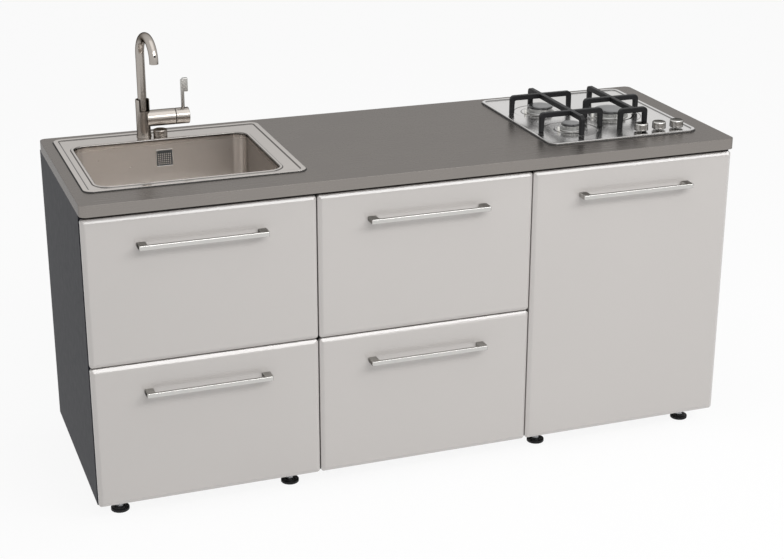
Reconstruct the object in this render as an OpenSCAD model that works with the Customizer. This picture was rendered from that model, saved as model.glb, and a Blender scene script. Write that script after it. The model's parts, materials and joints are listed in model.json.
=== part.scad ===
// Kitchenette unit with sink, tap and gas hob: three cabinets side by side under one steel worktop.
//
// Every piece is drawn in the unit's own working frame: X from the left edge of the worktop,
// Y from the front faces of the drawer fronts towards the wall, Z up from the floor.
// in_unit() moves that frame so that the origin is under the middle of the whole unit.
// Lengths are in millimetres.

/* [Cabinets] */
// Pitch of the three cabinets, which is also the width of one column of fronts
cab_w = 600; // [550:5:700]
// Height of the cabinet sides
cab_h = 790; // [760:5:860]
// Depth of the cabinet sides
cab_d = 600; // [550:5:660]
// Thickness of the sides and bottoms
side_t = 16; // [15:0.5:19]
// Gap between two neighbouring cabinets
cab_seam = 0.4; // [0.4:0.1:2]
// Thickness of the back panels
back_t = 4; // [3:0.5:6]
// Depth of the flat rail along the front of the worktop
rail_d = 58; // [50:1:62]
// Height of the upright rail along the wall
wall_rail_h = 80; // [60:5:100]
// Radius of the wall fixing holes
wall_hole_r = 3.5; // [2.5:0.5:5]
// Width of the service opening in the outer back panels
service_w = 220; // [160:10:260]
// Height of the service opening in the outer back panels
service_h = 240; // [200:10:260]
// Distance of the service openings' middle below the waste pipe's outlet
service_below = 40; // [0:5:60]

/* [Joining bolts] */
// Radius of the bolts that join the cabinets
bolt_r = 3; // [2:0.5:4]
// Radius of the bolt heads
bolt_head_r = 7; // [5.5:0.5:9]
// Height of the bolt heads
bolt_head_t = 2.5; // [1.5:0.5:4]
// Distance of the bolts from the cabinets' front and back edges
bolt_inset = 42; // [30:2:60]

/* [Feet] */
// Height of the feet
foot_h = 50; // [45:1:100]
// Radius of the foot's base
foot_r = 24.5; // [20:0.5:32]
// Height of the foot's base
foot_base_h = 10; // [8:0.5:14]
// Radius of the threaded stem
foot_stem_r = 5; // [4:0.5:6]
// Radius of the plate that the stem carries under the cabinet
foot_plate_r = 18; // [14:1:24]
// Thickness of the plate that the stem carries
foot_plate_t = 4; // [3:0.5:6]
// Distance of a foot's centre from the side of its cabinet
foot_side = 67; // [50:1:90]
// Distance of a foot's centre from the front faces and from the wall
foot_end = 74; // [65:1:110]

/* [Fronts] */
// Thickness of the fronts
front_t = 18; // [16:0.5:22]
// Gap between the fronts and the cabinets
front_gap = 2; // [1:0.5:4]
// Gap between neighbouring fronts
front_seam = 3.5; // [2:0.5:6]
// Height of the lower fronts
low_front_h = 386; // [380:2:400]
// Gap between the fronts and the worktop
top_gap = 10; // [6:1:20]
// Radius of the fronts' corners
front_corner_r = 8; // [3:1:14]

/* [Handles] */
// Length of the handles
handle_l = 330; // [200:10:420]
// Height of the handle's flat bar
handle_h = 12; // [8:1:18]
// Thickness of the handle's bar
handle_t = 8; // [6:1:12]
// How far the handle stands out from the front
handle_out = 35; // [28:1:45]
// Width of the handle's posts
handle_post_w = 22; // [12:1:30]
// Distance from the top of a front to the top of its handle
handle_drop = 69; // [40:1:100]

/* [Drawers] */
// Length of the drawer boxes, front to back
box_l = 500; // [450:10:520]
// Height of the deep drawer boxes
deep_box_h = 200; // [120:5:215]
// Height of the shallow box that passes under the sink's trap
shallow_box_h = 85; // [70:1:95]
// Height of a box's underside above the lower edge of its front
box_rise = 22; // [20:1:26]
// Thickness of the box sides
box_side_t = 12; // [9:1:15]
// Thickness of the box base
box_base_t = 8; // [6:1:12]
// How far a drawer opens
drawer_travel = 450; // [300:10:460]

/* [Runners] */
// Space between a cabinet side and a drawer box
runner_gap = 13; // [12.5:0.1:14]
// Height of the runners
runner_h = 45; // [36:1:48]
// Thickness of the runner steel
runner_steel = 1.5; // [1.2:0.1:1.8]
// Running gap between the runner's members
runner_clear = 0.5; // [0.35:0.05:0.8]
// Height of the runner's middle above the box's underside
runner_rise = 36; // [32:1:40]

/* [Worktop] */
// Thickness of the worktop
worktop_t = 30; // [26:1:40]
// Thickness of the worktop's steel skin
skin_t = 1.2; // [0.8:0.1:2]
// How far the worktop stands out past the fronts
overhang = 10; // [0:1:20]
// Radius of the worktop's corners
worktop_corner_r = 18; // [6:1:30]

/* [Sink] */
// Distance of the sink from the worktop's left edge
sink_left = 30; // [26:1:50]
// How far the sink reaches past its own cabinet on the right
sink_past = 5; // [0:1:12]
// Distance of the sink from the front faces
sink_front = 88; // [86:1:110]
// Distance of the sink from the worktop's back edge
sink_behind = 32; // [28:1:50]
// Radius of the sink's outer corners
sink_corner_r = 24; // [20:1:34]
// Width of the raised band round the sink
band_w = 16; // [14:1:20]
// Height of the raised band above the worktop
band_h = 3.6; // [3:0.2:5]
// Thickness of the sink's steel
sink_steel = 1.2; // [0.8:0.1:1.5]
// How far the sink's edge overlaps the worktop
sink_overlap = 12; // [11:0.5:13]
// Distance from the sink's left edge to the bowl
bowl_left = 40; // [32:1:60]
// Distance from the bowl to the sink's right edge
bowl_right = 60; // [40:1:90]
// Distance from the sink's front edge to the bowl
bowl_front = 32; // [30:1:50]
// Depth of the ledge behind the bowl, on which the tap stands
tap_ledge = 86; // [84:1:110]
// How deep the bowl is below the sink's deck
bowl_depth = 165; // [150:1:170]
// Radius of the bowl's upright corners
bowl_corner_r = 34; // [24:2:60]
// Width of the ridge round the bowl
ridge_w = 8; // [4:1:10]
// Radius of the waste hole in the bowl's floor
waste_hole_r = 45; // [42:1:48]
// Side of the square overflow cover
overflow_w = 48; // [36:1:56]
// Distance of the overflow's middle below the sink's deck
overflow_drop = 51; // [45:1:60]
// Distance of the overflow from the bowl's middle
overflow_shift = 12; // [0:1:30]

/* [Waste] */
// Thickness of the waste's flange on the bowl's floor
flange_t = 1.5; // [1:0.25:2.5]
// How far the waste's flange reaches past the hole
flange_lip = 11; // [8:1:14]
// Wall of the waste's cup
cup_wall = 5; // [3:0.5:7]
// Depth of the waste's cup below the bowl's floor
cup_h = 34; // [28:1:40]
// Radius of the waste pipe
pipe_r = 20; // [16:0.5:20]
// Wall of the waste pipe
pipe_wall = 2.5; // [2:0.1:3]
// Radius of the trap's bend
trap_bend_r = 34; // [28:1:36]
// How far the plug lifts
plug_lift = 8; // [5:1:10]
// Radius of the plug's guide stem
plug_stem_r = 4; // [3:0.25:5]
// Radius of the overflow pipe
overflow_pipe_r = 10; // [8:0.5:11]

/* [Tap] */
// Distance of the tap from the sink's left edge
tap_left = 246; // [220:1:260]
// Gap between the tap's foot and the sink's raised band
tap_gap = 0.3; // [0.3:0.1:2]
// Radius of the tap's column
column_r = 19; // [17:0.5:20]
// Height of the tap's column
column_h = 104; // [100:1:120]
// Height of the open notch at the top of the column
notch_h = 32; // [20:1:32]
// Radius of the foot of the column
column_foot_r = 20.5; // [20:0.5:21]
// Radius of the spout's tube
spout_r = 12; // [10:0.5:13]
// Wall of the spout's tube
spout_wall = 2; // [1.5:0.1:3]
// Radius of the spout's arch
arch_r = 57.5; // [50:0.5:90]
// Height of the arch's centre above the sink's deck
arch_h = 229; // [200:1:260]
// Straight length below the arch at the outlet
outlet_drop = 4; // [2:1:30]
// Angle that the spout is turned to, from straight ahead towards the right
spout_turn = 7; // [-20:1:30]
// Radius of the mixer's barrel
barrel_r = 22.5; // [20:0.5:23]
// Height of the barrel's axis above the sink's deck
barrel_h = 49; // [48.5:0.5:56]
// Distance from the column's axis to the end of the barrel
barrel_l = 88; // [76:1:96]
// Length of the lever's cap
cap_l = 38; // [36:1:44]
// Gap between the barrel and the cap
cap_gap = 1.2; // [0.6:0.1:2]
// Radius of the lever's rod
lever_r = 5; // [4:0.25:5.5]
// Height of the lever above the barrel's axis
lever_h = 105; // [85:1:125]
// Width of the lever's blade
blade_w = 20; // [14:1:24]
// Height of the lever's blade
blade_h = 38; // [28:1:46]
// How far the lever tilts, in degrees
lever_tilt = 14; // [10:1:16]
// Radius of the threaded shank under the tap
shank_r = 13.2; // [12.8:0.1:14]
// Length of the threaded shank under the tap
shank_l = 42; // [36:1:50]
// Radius of the nut on the shank
shank_nut_r = 20; // [18:0.5:20]
// Radius of the two water inlets
inlet_r = 5; // [4:0.25:5]
// Radius of the waste control's knob
control_r = 19; // [16:0.5:20]
// Height of the waste control's knob
control_h = 19; // [14:1:22]
// Distance of the waste control to the right of the tap
control_right = 43; // [42:1:52]
// Distance of the waste control in front of the tap
control_ahead = 12; // [10:1:15]
// Radius of the waste control's spindle
control_spindle_r = 4; // [3:0.5:5]

/* [Hob] */
// Distance of the hob from the worktop's right edge
hob_right = 60; // [50:1:80]
// Distance of the hob from its cabinet's left edge
hob_inset = 90; // [70:1:110]
// Distance of the hob from the front faces
hob_front = 88; // [86:1:110]
// Distance of the hob from the worktop's back edge
hob_behind = 32; // [28:1:50]
// Radius of the hob's corners
hob_corner_r = 26; // [18:1:34]
// Height of the hob's rim above the worktop
hob_rim_h = 6; // [5:0.5:8]
// Width of the hob's rim
hob_rim_w = 10; // [6:1:12]
// Height of the hob's deck above the worktop
hob_deck_h = 3; // [2.6:0.2:4]
// Thickness of the hob's steel
hob_steel = 1.2; // [0.8:0.1:1.5]
// How far the hob's edge overlaps the worktop
hob_overlap = 12; // [11:0.5:13]
// Depth of the hob's tray below the worktop's surface
tray_h = 50; // [48:1:60]
// Gap between the tray and the cut-out in the worktop
tray_gap = 2; // [1:0.5:3]
// Distance of the two left burners from the hob's left edge
left_burner_x = 120; // [116:1:124]
// Distance of the front burner from the hob's front edge
front_burner_y = 130; // [126:1:134]
// Distance of the rear burner from the hob's back edge
rear_burner_inset = 168; // [150:1:175]
// Distance of the large burner from the hob's right edge
right_burner_inset = 156; // [140:1:160]
// Radius of the small burner's cap
small_cap_r = 27; // [24:1:30]
// Radius of the middle burner's cap
middle_cap_r = 36; // [32:1:38]
// Radius of the large burner's cap
large_cap_r = 46; // [42:1:50]
// Height of a burner's crown above the deck
crown_h = 13; // [10:1:16]
// Thickness of a burner's cap
cap_t = 6; // [4:1:8]
// Height of the igniters above the deck
igniter_h = 14; // [10:1:17]

/* [Pan supports] */
// Height of the pan supports above the worktop
support_h = 58; // [50:1:64]
// Width of the pan supports' bars
support_bar_w = 11; // [8:0.5:14]
// Thickness of the pan supports' bars
support_bar_t = 13; // [10:0.5:16]
// Gap between a pan support's feet and the hob
support_clear = 0.3; // [0.3:0.1:0.5]
// Radius of the knees where a bar turns down
support_knee_r = 12; // [6:1:12]
// Width of the left support
left_support_w = 192; // [186:1:196]
// How far the left support reaches past its burners, front and back
left_support_end = 75; // [68:1:80]
// Width of the right support
right_support_w = 172; // [160:1:176]
// Gap between the knobs and the right support's front bar, seen from above
support_knob_gap = 27; // [15:1:34]
// Width of the right support's front bar
right_support_front_w = 88; // [70:1:100]

/* [Hob knobs] */
// Radius of the hob's knobs
knob_r = 19; // [16:0.5:21]
// Height of the hob's knobs
knob_h = 20; // [16:1:24]
// Gap under the hob's knobs
knob_gap = 4; // [3.5:0.5:6]
// How far a knob is pushed in before it turns
knob_push = 3; // [2:0.5:3]
// Distance of the last knob from the hob's right edge
knob_last_inset = 45; // [40:1:50]
// Distance between two knobs
knob_pitch = 55; // [52:1:57]
// Distance of the knobs from the hob's front edge
knob_y = 44; // [40:1:48]
// Radius of a knob's stem
stem_r = 3; // [2.5:0.25:3.5]
// Radius of the gas inlet
gas_inlet_r = 10.5; // [8:0.5:11]
// Length of the gas inlet below the tray
gas_inlet_l = 20; // [15:1:30]

/* [Fits] */
// Running clearance on a radius
running_clear = 0.05; // [0.02:0.01:0.08]
// Clearance of a loose hole round a bolt or stem, on a radius
loose_clear = 0.3; // [0.1:0.1:0.5]

/* [Hidden] */
fine = 64;
over = 1;

cabinets = 3;
unit_w = cabinets * cab_w;
carcass_y = front_t + front_gap;
unit_back = carcass_y + cab_d;
front_face_y = (handle_out - unit_back) / 2;
worktop_z = foot_h + cab_h;
deck_z = worktop_z + worktop_t;
inner_w = cab_w - cab_seam - 2 * side_t;

top_front_z = foot_h + low_front_h + front_seam;
fronts_top_z = worktop_z - top_gap;
box_w = inner_w - 2 * runner_gap;
low_box_z = foot_h + box_rise;
top_box_z = top_front_z + box_rise;

sink_w = cab_w + sink_past - sink_left;
sink_d = unit_back - sink_front - sink_behind;
bowl_w = sink_w - bowl_left - bowl_right;
bowl_d = sink_d - bowl_front - tap_ledge;
sink_cut_w = sink_w - 2 * sink_overlap;
sink_cut_d = sink_d - 2 * sink_overlap;
bowl_mid_x = bowl_left + bowl_w / 2;
bowl_mid_y = bowl_front + bowl_d / 2;
bowl_back = bowl_front + bowl_d;
tap_y = sink_d - band_w - tap_gap - column_foot_r;
cup_r = waste_hole_r - loose_clear;
cup_bore_r = cup_r - cup_wall;
waste_nut_t = 8;
pipe_top_z = -bowl_depth - cup_h;
overflow_run_z = -bowl_depth - waste_nut_t - overflow_pipe_r - 1;
overflow_bend_r = 14;
tail_h = 14;
trap_top_z = pipe_top_z - tail_h;
outlet_z = overflow_run_z - overflow_pipe_r - pipe_r - 2;
elbow_r = 24;
trap_rise = 20;
trap_mid_z = outlet_z - elbow_r - trap_rise;
outlet_y = unit_back - sink_front - 14;

hob_w = cab_w - hob_inset - hob_right;
hob_d = unit_back - hob_front - hob_behind;
hob_left = unit_w - hob_right - hob_w;
hob_cut_w = hob_w - 2 * hob_overlap;
hob_cut_d = hob_d - 2 * hob_overlap;
hob_under = hob_deck_h - hob_steel;
rear_burner_y = hob_d - rear_burner_inset;
right_burner_x = hob_w - right_burner_inset;
right_burner_y = (front_burner_y + rear_burner_y) / 2;
BURNERS = [
    [left_burner_x, front_burner_y, small_cap_r],
    [left_burner_x, rear_burner_y, middle_cap_r],
    [right_burner_x, right_burner_y, large_cap_r]
];
burner_cup_h = 32;
cup_step = 4;
cup_wall_t = 4;
flange_reach = 5;
igniter_reach = 10;
igniter_r = 3.5;
valve_top = -8;
valve_h = 30;
gas_rail_r = 7;
rail_z = -30;
gas_inlet_x = hob_w - hob_overlap - tray_gap - gas_inlet_r - 12;
gas_inlet_y = hob_d - hob_overlap - tray_gap - gas_inlet_r - 12;
plug_r = 5;
plug_l = 23.5;
plug_gap = 0.5;
stem_socket = 22;
knob_first_x = hob_w - knob_last_inset - 2 * knob_pitch;
right_support_end = right_burner_y - knob_y - knob_r - support_knob_gap;
support_foot_z = hob_deck_h + support_clear;

// ------------------------------------------------------------------ frames and shared shapes

// Moves the working frame so that the origin is under the middle of the unit
module in_unit() {
    translate([-unit_w / 2, front_face_y, 0]) children();
}

// Frame of the sink: its front left corner on the worktop's surface
module in_sink() {
    in_unit() translate([sink_left, sink_front, deck_z]) children();
}

// Frame of the tap: the column's axis on the sink's deck
module in_tap() {
    in_sink() translate([tap_left, tap_y, sink_steel]) children();
}

// Frame of the hob: its front left corner on the worktop's surface
module in_hob() {
    in_unit() translate([hob_left, hob_front, deck_z]) children();
}

// Rectangle with round corners, from its front left corner
module round_rect(w, d, r) {
    translate([r, 0]) square([w - 2 * r, d]);
    translate([0, r]) square([w, d - 2 * r]);
    for (x = [r, w - r], y = [r, d - r])
        translate([x, y]) circle(r = r, $fn = fine);
}

// Upright plate with round corners, inset from an outline by "inset"
module round_plate(w, d, h, r, inset = 0) {
    translate([inset, inset, 0])
        linear_extrude(height = h) round_rect(w - 2 * inset, d - 2 * inset, max(r - inset, 0.5));
}

// Tube along +Z
module tube(r_out, r_in, h) {
    difference() {
        cylinder(r = r_out, h = h, $fn = fine);
        translate([0, 0, -over]) cylinder(r = r_in, h = h + 2 * over, $fn = fine);
    }
}

// Bar whose two ends turn down into legs, seen from the side, from z = 0 to z = top
module bridge_outline(length, top) {
    difference() {
        union() {
            square([length, top - support_knee_r]);
            translate([support_knee_r, 0]) square([length - 2 * support_knee_r, top]);
            for (x = [support_knee_r, length - support_knee_r])
                translate([x, top - support_knee_r]) circle(r = support_knee_r, $fn = fine);
        }
        translate([support_bar_w, -over])
            square([length - 2 * support_bar_w, top - support_bar_t + over]);
    }
}

// Bridge along X, its middle over x = 0 and y = 0
module bridge_x(length, top) {
    translate([-length / 2, support_bar_w / 2, 0])
        rotate([90, 0, 0]) linear_extrude(height = support_bar_w) bridge_outline(length, top);
}

// Bridge along Y, its front end at y = 0
module bridge_y(length, top) {
    rotate([0, 0, 90]) translate([length / 2, 0, 0]) bridge_x(length, top);
}

// ------------------------------------------------------------------ cabinets

module side_panel(x) {
    translate([x, carcass_y, foot_h]) cube([side_t, cab_d, cab_h]);
}

// The two dark sides at the ends of the unit
module outer_sides() {
    color([0.28, 0.29, 0.31]) in_unit() {
        side_panel(cab_seam / 2);
        side_panel(unit_w - cab_seam / 2 - side_t);
    }
}

// Where the joining bolts go through a pair of inner sides
function bolt_ys() = [carcass_y + bolt_inset, unit_back - bolt_inset];
function bolt_zs() = [foot_h + low_front_h - bolt_inset, worktop_z - bolt_inset];

// The four sides inside the unit, in two pairs that are bolted together
module inner_sides() {
    color([0.86, 0.85, 0.83]) in_unit() for (i = [1 : cabinets - 1]) difference() {
        union() {
            side_panel(i * cab_w - cab_seam / 2 - side_t);
            side_panel(i * cab_w + cab_seam / 2);
        }
        for (y = bolt_ys(), z = bolt_zs())
            translate([i * cab_w - side_t - over, y, z]) rotate([0, 90, 0])
                cylinder(r = bolt_r + loose_clear, h = 2 * (side_t + over), $fn = fine);
    }
}

// Bolts with a flat head at each end, through each pair of inner sides
module joining_bolts() {
    reach = cab_seam / 2 + side_t + bolt_head_t;
    color("silver") in_unit() for (i = [1 : cabinets - 1], y = bolt_ys(), z = bolt_zs())
        translate([i * cab_w, y, z]) rotate([0, 90, 0]) {
            translate([0, 0, -reach]) cylinder(r = bolt_r, h = 2 * reach, $fn = fine);
            translate([0, 0, -reach]) cylinder(r = bolt_head_r, h = bolt_head_t, $fn = fine);
            translate([0, 0, reach - bolt_head_t])
                cylinder(r = bolt_head_r, h = bolt_head_t, $fn = fine);
        }
}

// Left edge of the space inside cabinet i
function inner_x(i) = i * cab_w + cab_seam / 2 + side_t;

// The first and the last cabinet stand on feet, and the middle one hangs between them
function foot_xs() = [foot_side, cab_w - foot_side, unit_w - cab_w + foot_side, unit_w - foot_side];
function foot_ys() = [foot_end, unit_back - foot_end];

module at_feet() {
    for (x = foot_xs(), y = foot_ys()) translate([x, y, 0]) children();
}

// The three cabinet bottoms, bored for the stems of the feet
module cabinet_bottoms() {
    color([0.86, 0.85, 0.83]) in_unit() difference() {
        for (i = [0 : cabinets - 1])
            translate([inner_x(i), carcass_y, foot_h]) cube([inner_w, cab_d - back_t, side_t]);
        at_feet() translate([0, 0, foot_h - over])
            cylinder(r = foot_stem_r + loose_clear, h = side_t + 2 * over, $fn = fine);
    }
}

module wall_hole(i) {
    translate([(i + 0.5) * cab_w, unit_back - back_t - side_t - over, worktop_z - wall_rail_h / 2])
        rotate([-90, 0, 0])
            cylinder(r = wall_hole_r, h = side_t + back_t + 2 * over, $fn = fine);
}

// A flat rail along the front and an upright one along the wall, in each cabinet
module cabinet_rails() {
    color([0.86, 0.85, 0.83]) in_unit() difference() {
        for (i = [0 : cabinets - 1]) {
            translate([inner_x(i), carcass_y, worktop_z - side_t]) cube([inner_w, rail_d, side_t]);
            translate([inner_x(i), unit_back - back_t - side_t, worktop_z - wall_rail_h])
                cube([inner_w, side_t, wall_rail_h]);
        }
        wall_hole(0);
        wall_hole(cabinets - 1);
    }
}

// Middle of the service openings: behind the trap's outlet and below the gas inlet
function service_z() = deck_z + outlet_z - service_below;

// Thin back panels; those of the sink and of the hob have an opening for the pipes
module back_panels() {
    color([0.80, 0.79, 0.77]) in_unit() difference() {
        for (i = [0 : cabinets - 1])
            translate([inner_x(i), unit_back - back_t, foot_h]) cube([inner_w, back_t, cab_h]);
        for (i = [0, cabinets - 1])
            translate([(i + 0.5) * cab_w - service_w / 2, unit_back - back_t - over,
                       service_z() - service_h / 2])
                cube([service_w, back_t + 2 * over, service_h]);
        wall_hole(0);
        wall_hole(cabinets - 1);
    }
}

// ------------------------------------------------------------------ feet

// Round bases with a blind socket for the stem
module foot_bases() {
    socket = foot_base_h - 4;
    color([0.10, 0.10, 0.11]) in_unit() at_feet() difference() {
        union() {
            cylinder(r = foot_r, h = foot_base_h - 2, $fn = fine);
            translate([0, 0, foot_base_h - 2])
                cylinder(r1 = foot_r, r2 = foot_r - 3, h = 2, $fn = fine);
        }
        translate([0, 0, foot_base_h - socket])
            cylinder(r = foot_stem_r, h = socket + over, $fn = fine);
    }
}

// Threaded stems with a plate under the cabinet and a lock nut on the base
module foot_stems() {
    color([0.55, 0.56, 0.58]) in_unit() at_feet() {
        translate([0, 0, 4]) cylinder(r = foot_stem_r, h = foot_h + side_t - 5, $fn = fine);
        translate([0, 0, foot_h - foot_plate_t])
            cylinder(r = foot_plate_r, h = foot_plate_t, $fn = fine);
        translate([0, 0, foot_base_h]) cylinder(r = foot_stem_r + 5, h = 7, $fn = fine);
    }
}

// ------------------------------------------------------------------ runners

// A channel with its web on the side of x = 0, of width w and height h, along Y
module channel(w, h, length) {
    cube([runner_steel, length, h]);
    cube([w, length, runner_steel]);
    translate([0, 0, h - runner_steel]) cube([w, length, runner_steel]);
}

// The three members of a runner nest in each other: the first is screwed to the cabinet,
// the last to the box, and the one between runs half as far as the drawer
rail_w = 0.6 * runner_gap;
mid_x = runner_steel + 0.8;
mid_w = 0.62 * runner_gap;
mid_h = runner_h - 2 * (runner_steel + runner_clear);
box_member_w = 0.5 * runner_gap;
box_member_bite = 0.5;
box_member_h = mid_h - 2 * (runner_steel + runner_clear);
runner_front = carcass_y + 2;
runner_l = box_l;
mid_l = box_l - 20;

// Pairs of runner members for the box in cabinet i whose underside is at z
module cabinet_members(i, z) {
    for (side = [0, 1])
        translate([inner_x(i) + side * inner_w, runner_front, z + runner_rise - runner_h / 2])
            mirror([side, 0, 0]) channel(rail_w, runner_h, runner_l);
}

module middle_members(i, z) {
    for (side = [0, 1])
        translate([inner_x(i) + side * inner_w, runner_front, z + runner_rise - mid_h / 2])
            mirror([side, 0, 0]) translate([mid_x, 0, 0]) channel(mid_w, mid_h, mid_l);
}

module box_members(i, z) {
    for (side = [0, 1])
        translate([inner_x(i) + side * inner_w, runner_front, z + runner_rise - box_member_h / 2])
            mirror([side, 0, 0]) translate([runner_gap + box_member_bite, 0, 0])
                mirror([1, 0, 0])
                    channel(box_member_w + box_member_bite, box_member_h, runner_l - 4);
}

// The cabinet members of all the runners
module runner_rails() {
    color([0.72, 0.73, 0.75]) in_unit() for (i = [0 : cabinets - 1], z = [low_box_z, top_box_z])
        cabinet_members(i, z);
}

module runner_mids(i, levels) {
    color([0.66, 0.67, 0.70]) in_unit() for (z = levels) middle_members(i, z);
}

module left_upper_runners() { runner_mids(0, [top_box_z]); }
module left_lower_runners() { runner_mids(0, [low_box_z]); }
module middle_upper_runners() { runner_mids(1, [top_box_z]); }
module middle_lower_runners() { runner_mids(1, [low_box_z]); }
module right_runners() { runner_mids(2, [low_box_z, top_box_z]); }

// ------------------------------------------------------------------ drawers

// Front board in column i from height z up to z_top
module front_board(i, z, z_top) {
    color([0.78, 0.76, 0.74]) in_unit()
        translate([i * cab_w + front_seam / 2, front_t, z]) rotate([90, 0, 0])
            linear_extrude(height = front_t)
                round_rect(cab_w - front_seam, z_top - z, front_corner_r);
}

// Flat steel bar on two wide posts, its top handle_drop below the top of its front
module handle(i, z_top) {
    color([0.82, 0.82, 0.82]) in_unit()
        translate([(i + 0.5) * cab_w - handle_l / 2, -handle_out, z_top - handle_drop - handle_h]) {
            cube([handle_l, handle_t, handle_h]);
            for (x = [0, handle_l - handle_post_w])
                translate([x, 0, 0]) cube([handle_post_w, handle_out, handle_h]);
        }
}

// Open box of boards with its runner members on both sides
module drawer_box(i, z, h) {
    color([0.88, 0.87, 0.85]) in_unit() {
        translate([inner_x(i) + runner_gap, front_t, z]) difference() {
            cube([box_w, box_l, h]);
            translate([box_side_t, box_side_t, box_base_t])
                cube([box_w - 2 * box_side_t, box_l - 2 * box_side_t, h]);
        }
        box_members(i, z);
    }
}

module left_upper_front() { front_board(0, top_front_z, fronts_top_z); }
module left_lower_front() { front_board(0, foot_h, foot_h + low_front_h); }
module middle_upper_front() { front_board(1, top_front_z, fronts_top_z); }
module middle_lower_front() { front_board(1, foot_h, foot_h + low_front_h); }
module right_front() { front_board(2, foot_h, fronts_top_z); }

module left_upper_handle() { handle(0, fronts_top_z); }
module left_lower_handle() { handle(0, foot_h + low_front_h); }
module middle_upper_handle() { handle(1, fronts_top_z); }
module middle_lower_handle() { handle(1, foot_h + low_front_h); }
module right_handle() { handle(2, fronts_top_z); }

module left_upper_box() { drawer_box(0, top_box_z, shallow_box_h); }
module left_lower_box() { drawer_box(0, low_box_z, deep_box_h); }
module middle_upper_box() { drawer_box(1, top_box_z, deep_box_h); }
module middle_lower_box() { drawer_box(1, low_box_z, deep_box_h); }

// The tall front on the right carries two boxes, one above the other
module right_boxes() {
    drawer_box(2, low_box_z, deep_box_h);
    drawer_box(2, top_box_z, deep_box_h);
}

// ------------------------------------------------------------------ worktop

module worktop_plate(inset, h) {
    in_unit() translate([0, -overhang, worktop_z])
        round_plate(unit_w, unit_back + overhang, h, worktop_corner_r, inset);
}

// Openings for the sink's bowl and the hob's tray
module worktop_cuts() {
    in_sink() translate([sink_overlap, sink_overlap, -2 * worktop_t])
        round_plate(sink_cut_w, sink_cut_d, 3 * worktop_t, sink_corner_r - sink_overlap);
    in_hob() translate([hob_overlap, hob_overlap, -2 * worktop_t])
        round_plate(hob_cut_w, hob_cut_d, 3 * worktop_t, hob_corner_r - hob_overlap);
}

// Steel sheet folded down on all four edges
module worktop_skin() {
    color([0.56, 0.54, 0.52]) difference() {
        worktop_plate(0, worktop_t);
        translate([0, 0, -over]) worktop_plate(skin_t, worktop_t - skin_t + over);
        worktop_cuts();
    }
}

// Board that fills the skin
module worktop_core() {
    color([0.72, 0.60, 0.44]) difference() {
        worktop_plate(skin_t, worktop_t - skin_t);
        worktop_cuts();
    }
}

// ------------------------------------------------------------------ sink

// Plan of the bowl, grown outwards by "grow"
module bowl_plan(grow) {
    translate([bowl_left - grow, bowl_front - grow])
        round_rect(bowl_w + 2 * grow, bowl_d + 2 * grow, bowl_corner_r + grow);
}

// Sheet that lies on the worktop: raised band, deck, and the ridge round the bowl
module sink_deck() {
    color([0.62, 0.59, 0.56]) in_sink() difference() {
        round_plate(sink_w, sink_d, band_h, sink_corner_r);
        translate([0, 0, sink_steel]) difference() {
            round_plate(sink_w, sink_d, band_h, sink_corner_r, band_w);
            translate([0, 0, -over])
                linear_extrude(height = band_h + 2 * over) bowl_plan(ridge_w);
        }
        translate([0, 0, -over]) difference() {
            round_plate(sink_w, sink_d, band_h - sink_steel + over, sink_corner_r, sink_steel);
            translate([0, 0, -over])
                round_plate(sink_w, sink_d, band_h + 2 * over, sink_corner_r, band_w - sink_steel);
        }
        translate([0, 0, -over]) linear_extrude(height = band_h + 2 * over) bowl_plan(0);
        translate([tap_left, tap_y, -over])
            cylinder(r = shank_r + loose_clear, h = band_h + 2 * over, $fn = fine);
        translate([tap_left + control_right, tap_y - control_ahead, -over])
            cylinder(r = control_spindle_r + running_clear, h = band_h + 2 * over, $fn = fine);
    }
}

// Deep bowl, welded to the deck round its top edge, with holes for the waste and the overflow
module sink_bowl() {
    color([0.60, 0.57, 0.54]) in_sink() difference() {
        translate([0, 0, -bowl_depth]) linear_extrude(height = bowl_depth) bowl_plan(sink_steel);
        translate([0, 0, sink_steel - bowl_depth])
            linear_extrude(height = bowl_depth) bowl_plan(0);
        translate([bowl_mid_x, bowl_mid_y, -bowl_depth - over])
            cylinder(r = waste_hole_r, h = 4 * over, $fn = fine);
        translate([overflow_x(), bowl_back - over, -overflow_drop]) rotate([-90, 0, 0])
            cylinder(r = overflow_w / 3, h = 4 * over, $fn = fine);
    }
}

function overflow_x() = bowl_mid_x + overflow_shift;
function bowl_floor() = sink_steel - bowl_depth;

// Clips that hook under the worktop along the front and the back of the sink
module sink_clips() {
    clip_w = 22;
    clip_t = 3;
    hook = 8;
    web = band_w - sink_overlap;
    color("silver") in_sink() for (share = [0.14, 0.38, 0.66, 0.88], back = [0, 1])
        translate([share * sink_w - clip_w / 2, back * sink_d, 0]) mirror([0, back, 0])
            translate([0, sink_overlap, -worktop_t - clip_t]) {
                cube([clip_w, web, worktop_t + clip_t]);
                translate([0, -hook, 0]) cube([clip_w, hook + web, clip_t]);
            }
}

// Ring of foam under the edge of a plate, between two insets
module seal_ring(w, d, r, inner, outer, h) {
    difference() {
        round_plate(w, d, h, r, outer);
        translate([0, 0, -over]) round_plate(w, d, h + 2 * over, r, inner);
    }
}

// The seal under the sink's band and the one under the hob's rim
module edge_seals() {
    color([0.30, 0.30, 0.30]) {
        in_sink() seal_ring(sink_w, sink_d, sink_corner_r, sink_overlap - 1, 3, band_h - sink_steel);
        in_hob() seal_ring(hob_w, hob_d, hob_corner_r, hob_overlap - 1, 3, hob_under);
    }
}

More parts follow.
